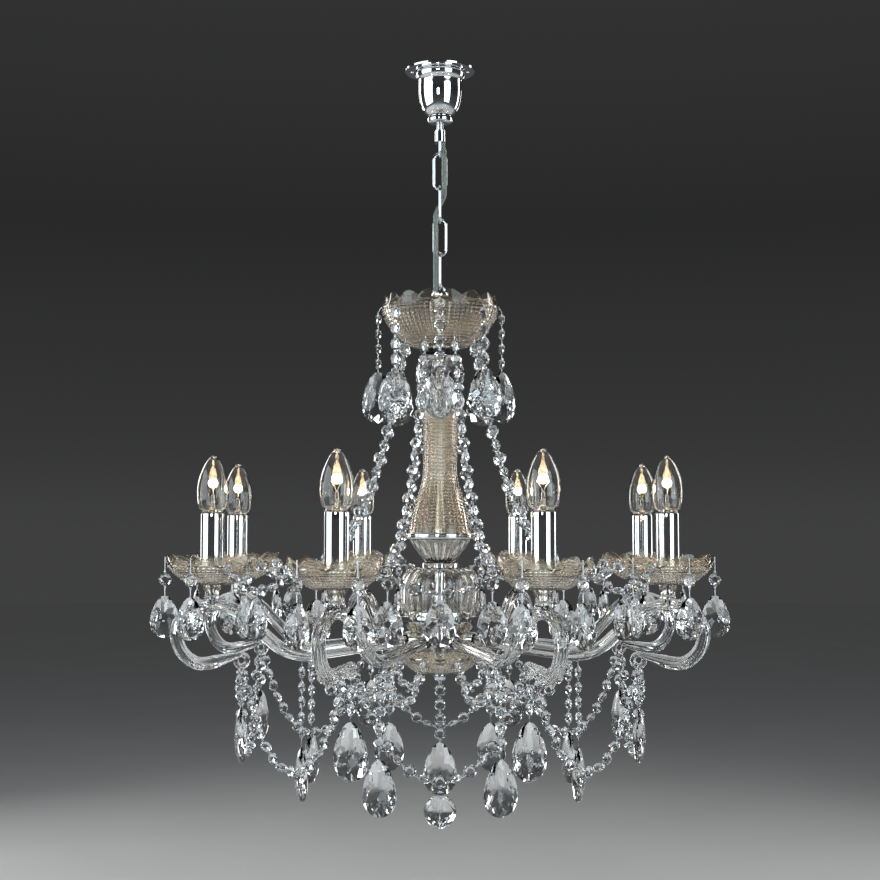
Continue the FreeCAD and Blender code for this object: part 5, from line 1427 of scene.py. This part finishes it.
# %% Hang the stones
STRINGS = {
    "bowl_strands": ("crown_strands", "column"), "column_strands": ("slack_strands", "column"),
    "dish_pendants": ("dish_drops", "column"), "dish_swags": ("candle_swags", "column"),
    "arm_drops": ("arm_strands", "column"), "lower_swags": ("deep_swags", "column"),
    "centre_drop": ("centre_strand", "centre_drop"),
}
for node, (name, body) in STRINGS.items():
    cloud, kinds = points_for(node, name)
    strung = run_tree(cloud, STRUNG, Bead=bead_stone, Big_Almond=big_almond,
                      Small_Almond=small_almond, Ball=drop_ball, Loops=bead_loops,
                      Wire=hook_wire, Ring=drop_ring, Crystal=cut_crystal, Metal=hook_metal)
    put(strung, body, "crystal", node)
    print(name, [kinds.count(kind) for kind in range(6)], len(strung.data.polygons), "faces")
for stone in (bead_stone, big_almond, small_almond, drop_ball, bead_loops, hook_wire, drop_ring):
    bpy.data.objects.remove(stone)

# %% [markdown]
# ## Finishes on the CAD nodes that stay
# The plate, the nut, the nipple, the hook block, the hub with its sockets and the lampholders
# have their right shapes already, so they only take a finish.

# %% CAD finishes
KEPT = {
    "ceiling_plate": chrome, "canopy_nipple": steel, "canopy_nut": chrome, "canopy_hook": chrome,
    "terminal_block": terminal_plastic, "arm_hub": chrome, "lampholders": holder,
}
for node, finish in KEPT.items():
    kept = frame["nodes"][node]
    kept.data.materials.clear()
    kept.data.materials.append(finish)
print("kept:", ", ".join(KEPT))

# %% [markdown]
# ## Studio
# A pale floor well below the light, a plain surround, and soft lamps. Clear glass shows only what
# it bends and mirrors: against a dark surround its edges and facets light up, as they do in the
# photograph. The lamps are tall, and stand at the sides, where their mirror images draw bright
# upright lines on the chrome.

# %% Floor and surround
FLOOR_DROP, FLOOR_REACH = 0.38, 14.0
floor_level = cad_low.z - FLOOR_DROP
rim = [(FLOOR_REACH * math.cos(a), FLOOR_REACH * math.sin(a), floor_level)
       for a in np.linspace(0, 2 * math.pi, 96, endpoint=False)]
floor_finish, floor_tree, floor_shader = new_finish("floor_paint", Roughness=0.8)
tinted(floor_tree, noise_at(floor_tree, 3.0, 4.0), (0.77, 0.77, 0.765), (0.80, 0.80, 0.795),
       floor_shader.inputs["Base Color"])
floor = link_piece("floor", mesh_from("floor", rim, [range(len(rim))], smooth=False),
                   [floor_finish])

world = bpy.data.worlds.new("surround")
bpy.context.scene.world = world
world.use_nodes = True
surround = world.node_tree
back = surround.nodes["Background"]
way = surround.nodes.new("ShaderNodeTexCoord")
split = surround.nodes.new("ShaderNodeSeparateXYZ")
ramp = surround.nodes.new("ShaderNodeValToRGB")
surround.links.new(way.outputs["Generated"], split.inputs[0])
surround.links.new(ranged(surround, split.outputs["Z"], (-1.0, 1.0)), ramp.inputs["Fac"])
surround.links.new(ramp.outputs["Color"], back.inputs["Color"])
stops = ramp.color_ramp.elements
SKY = [(0.0, 0.05), (0.5, 0.05), (0.53, 0.036), (0.60, 0.022), (0.8, 0.05), (1.0, 0.09)]
stops[0].position, stops[1].position = SKY[0][0], SKY[-1][0]
for position, level in SKY:
    near = [stop for stop in stops if abs(stop.position - position) < 1e-4]
    stop = near[0] if near else stops.new(position)
    stop.color = (level, level * 1.01, level * 1.03, 1.0)

# %% Lamps
def soft_lamp(name, place, aim, width, height, watts, tint=(1.0, 1.0, 1.0)):
    """A rectangular soft lamp that faces a point."""
    lamp = bpy.data.lights.new(name, "AREA")
    lamp.shape = "RECTANGLE"
    lamp.size, lamp.size_y = width, height
    lamp.energy = watts
    lamp.color = tint
    stand = bpy.data.objects.new(name, lamp)
    stand.location = place
    stand.rotation_euler = (Vector(aim) - Vector(place)).to_track_quat("-Z", "Y").to_euler()
    stand.visible_camera = False
    bpy.context.scene.collection.objects.link(stand)


MIDDLE = (0.0, 0.0, -0.5)
COOL, PLAIN = (0.80, 0.92, 1.0), (1.0, 0.98, 0.95)
soft_lamp("key_lamp", (-1.95, -0.85, -0.05), MIDDLE, 2.0, 1.6, 26.0, COOL)
soft_lamp("fill_lamp", (1.45, -1.75, -0.05), MIDDLE, 1.3, 1.6, 21.0, COOL)
soft_lamp("front_lamp", (-0.35, -2.1, 0.1), MIDDLE, 0.4, 0.4, 5.0, COOL)
soft_lamp("left_rim", (-1.7, 1.5, 0.0), MIDDLE, 0.4, 1.6, 10.0)
soft_lamp("right_rim", (1.9, 1.1, 0.0), MIDDLE, 0.4, 1.6, 10.0)
soft_lamp("top_lamp", (0.0, 0.4, 1.6), MIDDLE, 1.6, 1.6, 9.0, PLAIN)
for side, rise in ((-1.0, 0.55), (0.8, 0.4), (-0.35, 0.9), (1.3, -0.1), (-1.4, -0.1)):
    soft_lamp("glint_lamp", (side, 2.1, rise), MIDDLE, 0.2, 0.4, 0.9, PLAIN)

# %% [markdown]
# The lit bulbs also light the glass around them. A small warm lamp hangs at each filament, a
# child of its bulb, so that it moves with the bulb; the bulb's own thin glass throws no shadow.

# %% Bulb light
FLAME_LEVEL, FLAME_WATTS, FLAME_RADIUS = 33.0, 0.6, 0.0055
FLAME_TINT = (1.0, 0.74, 0.45)
for index in range(ARMS):
    low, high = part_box("bulb_%d" % (index + 1))
    heart = bpy.data.lights.new("bulb_light", "POINT")
    heart.energy = FLAME_WATTS
    heart.color = FLAME_TINT
    heart.shadow_soft_size = FLAME_RADIUS
    flame = bpy.data.objects.new("bulb_light", heart)
    flame.location = ((low.x + high.x) / 2, (low.y + high.y) / 2,
                      (BULB_BASE + FLAME_LEVEL) * MM)
    flame.visible_camera = False
    bpy.context.scene.collection.objects.link(flame)
    bulb = bpy.data.objects["candle_bulb_%d" % (index + 1)]
    bulb.visible_shadow = False
    flame.parent = bulb

bpy.context.scene.view_settings.view_transform = "Standard"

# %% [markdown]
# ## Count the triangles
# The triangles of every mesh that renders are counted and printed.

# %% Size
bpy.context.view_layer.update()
triangles = sum(len(polygon.vertices) - 2 for piece in bpy.data.objects
                if piece.type == "MESH" and not piece.hide_render
                for polygon in piece.data.polygons)
print("triangles:", triangles)
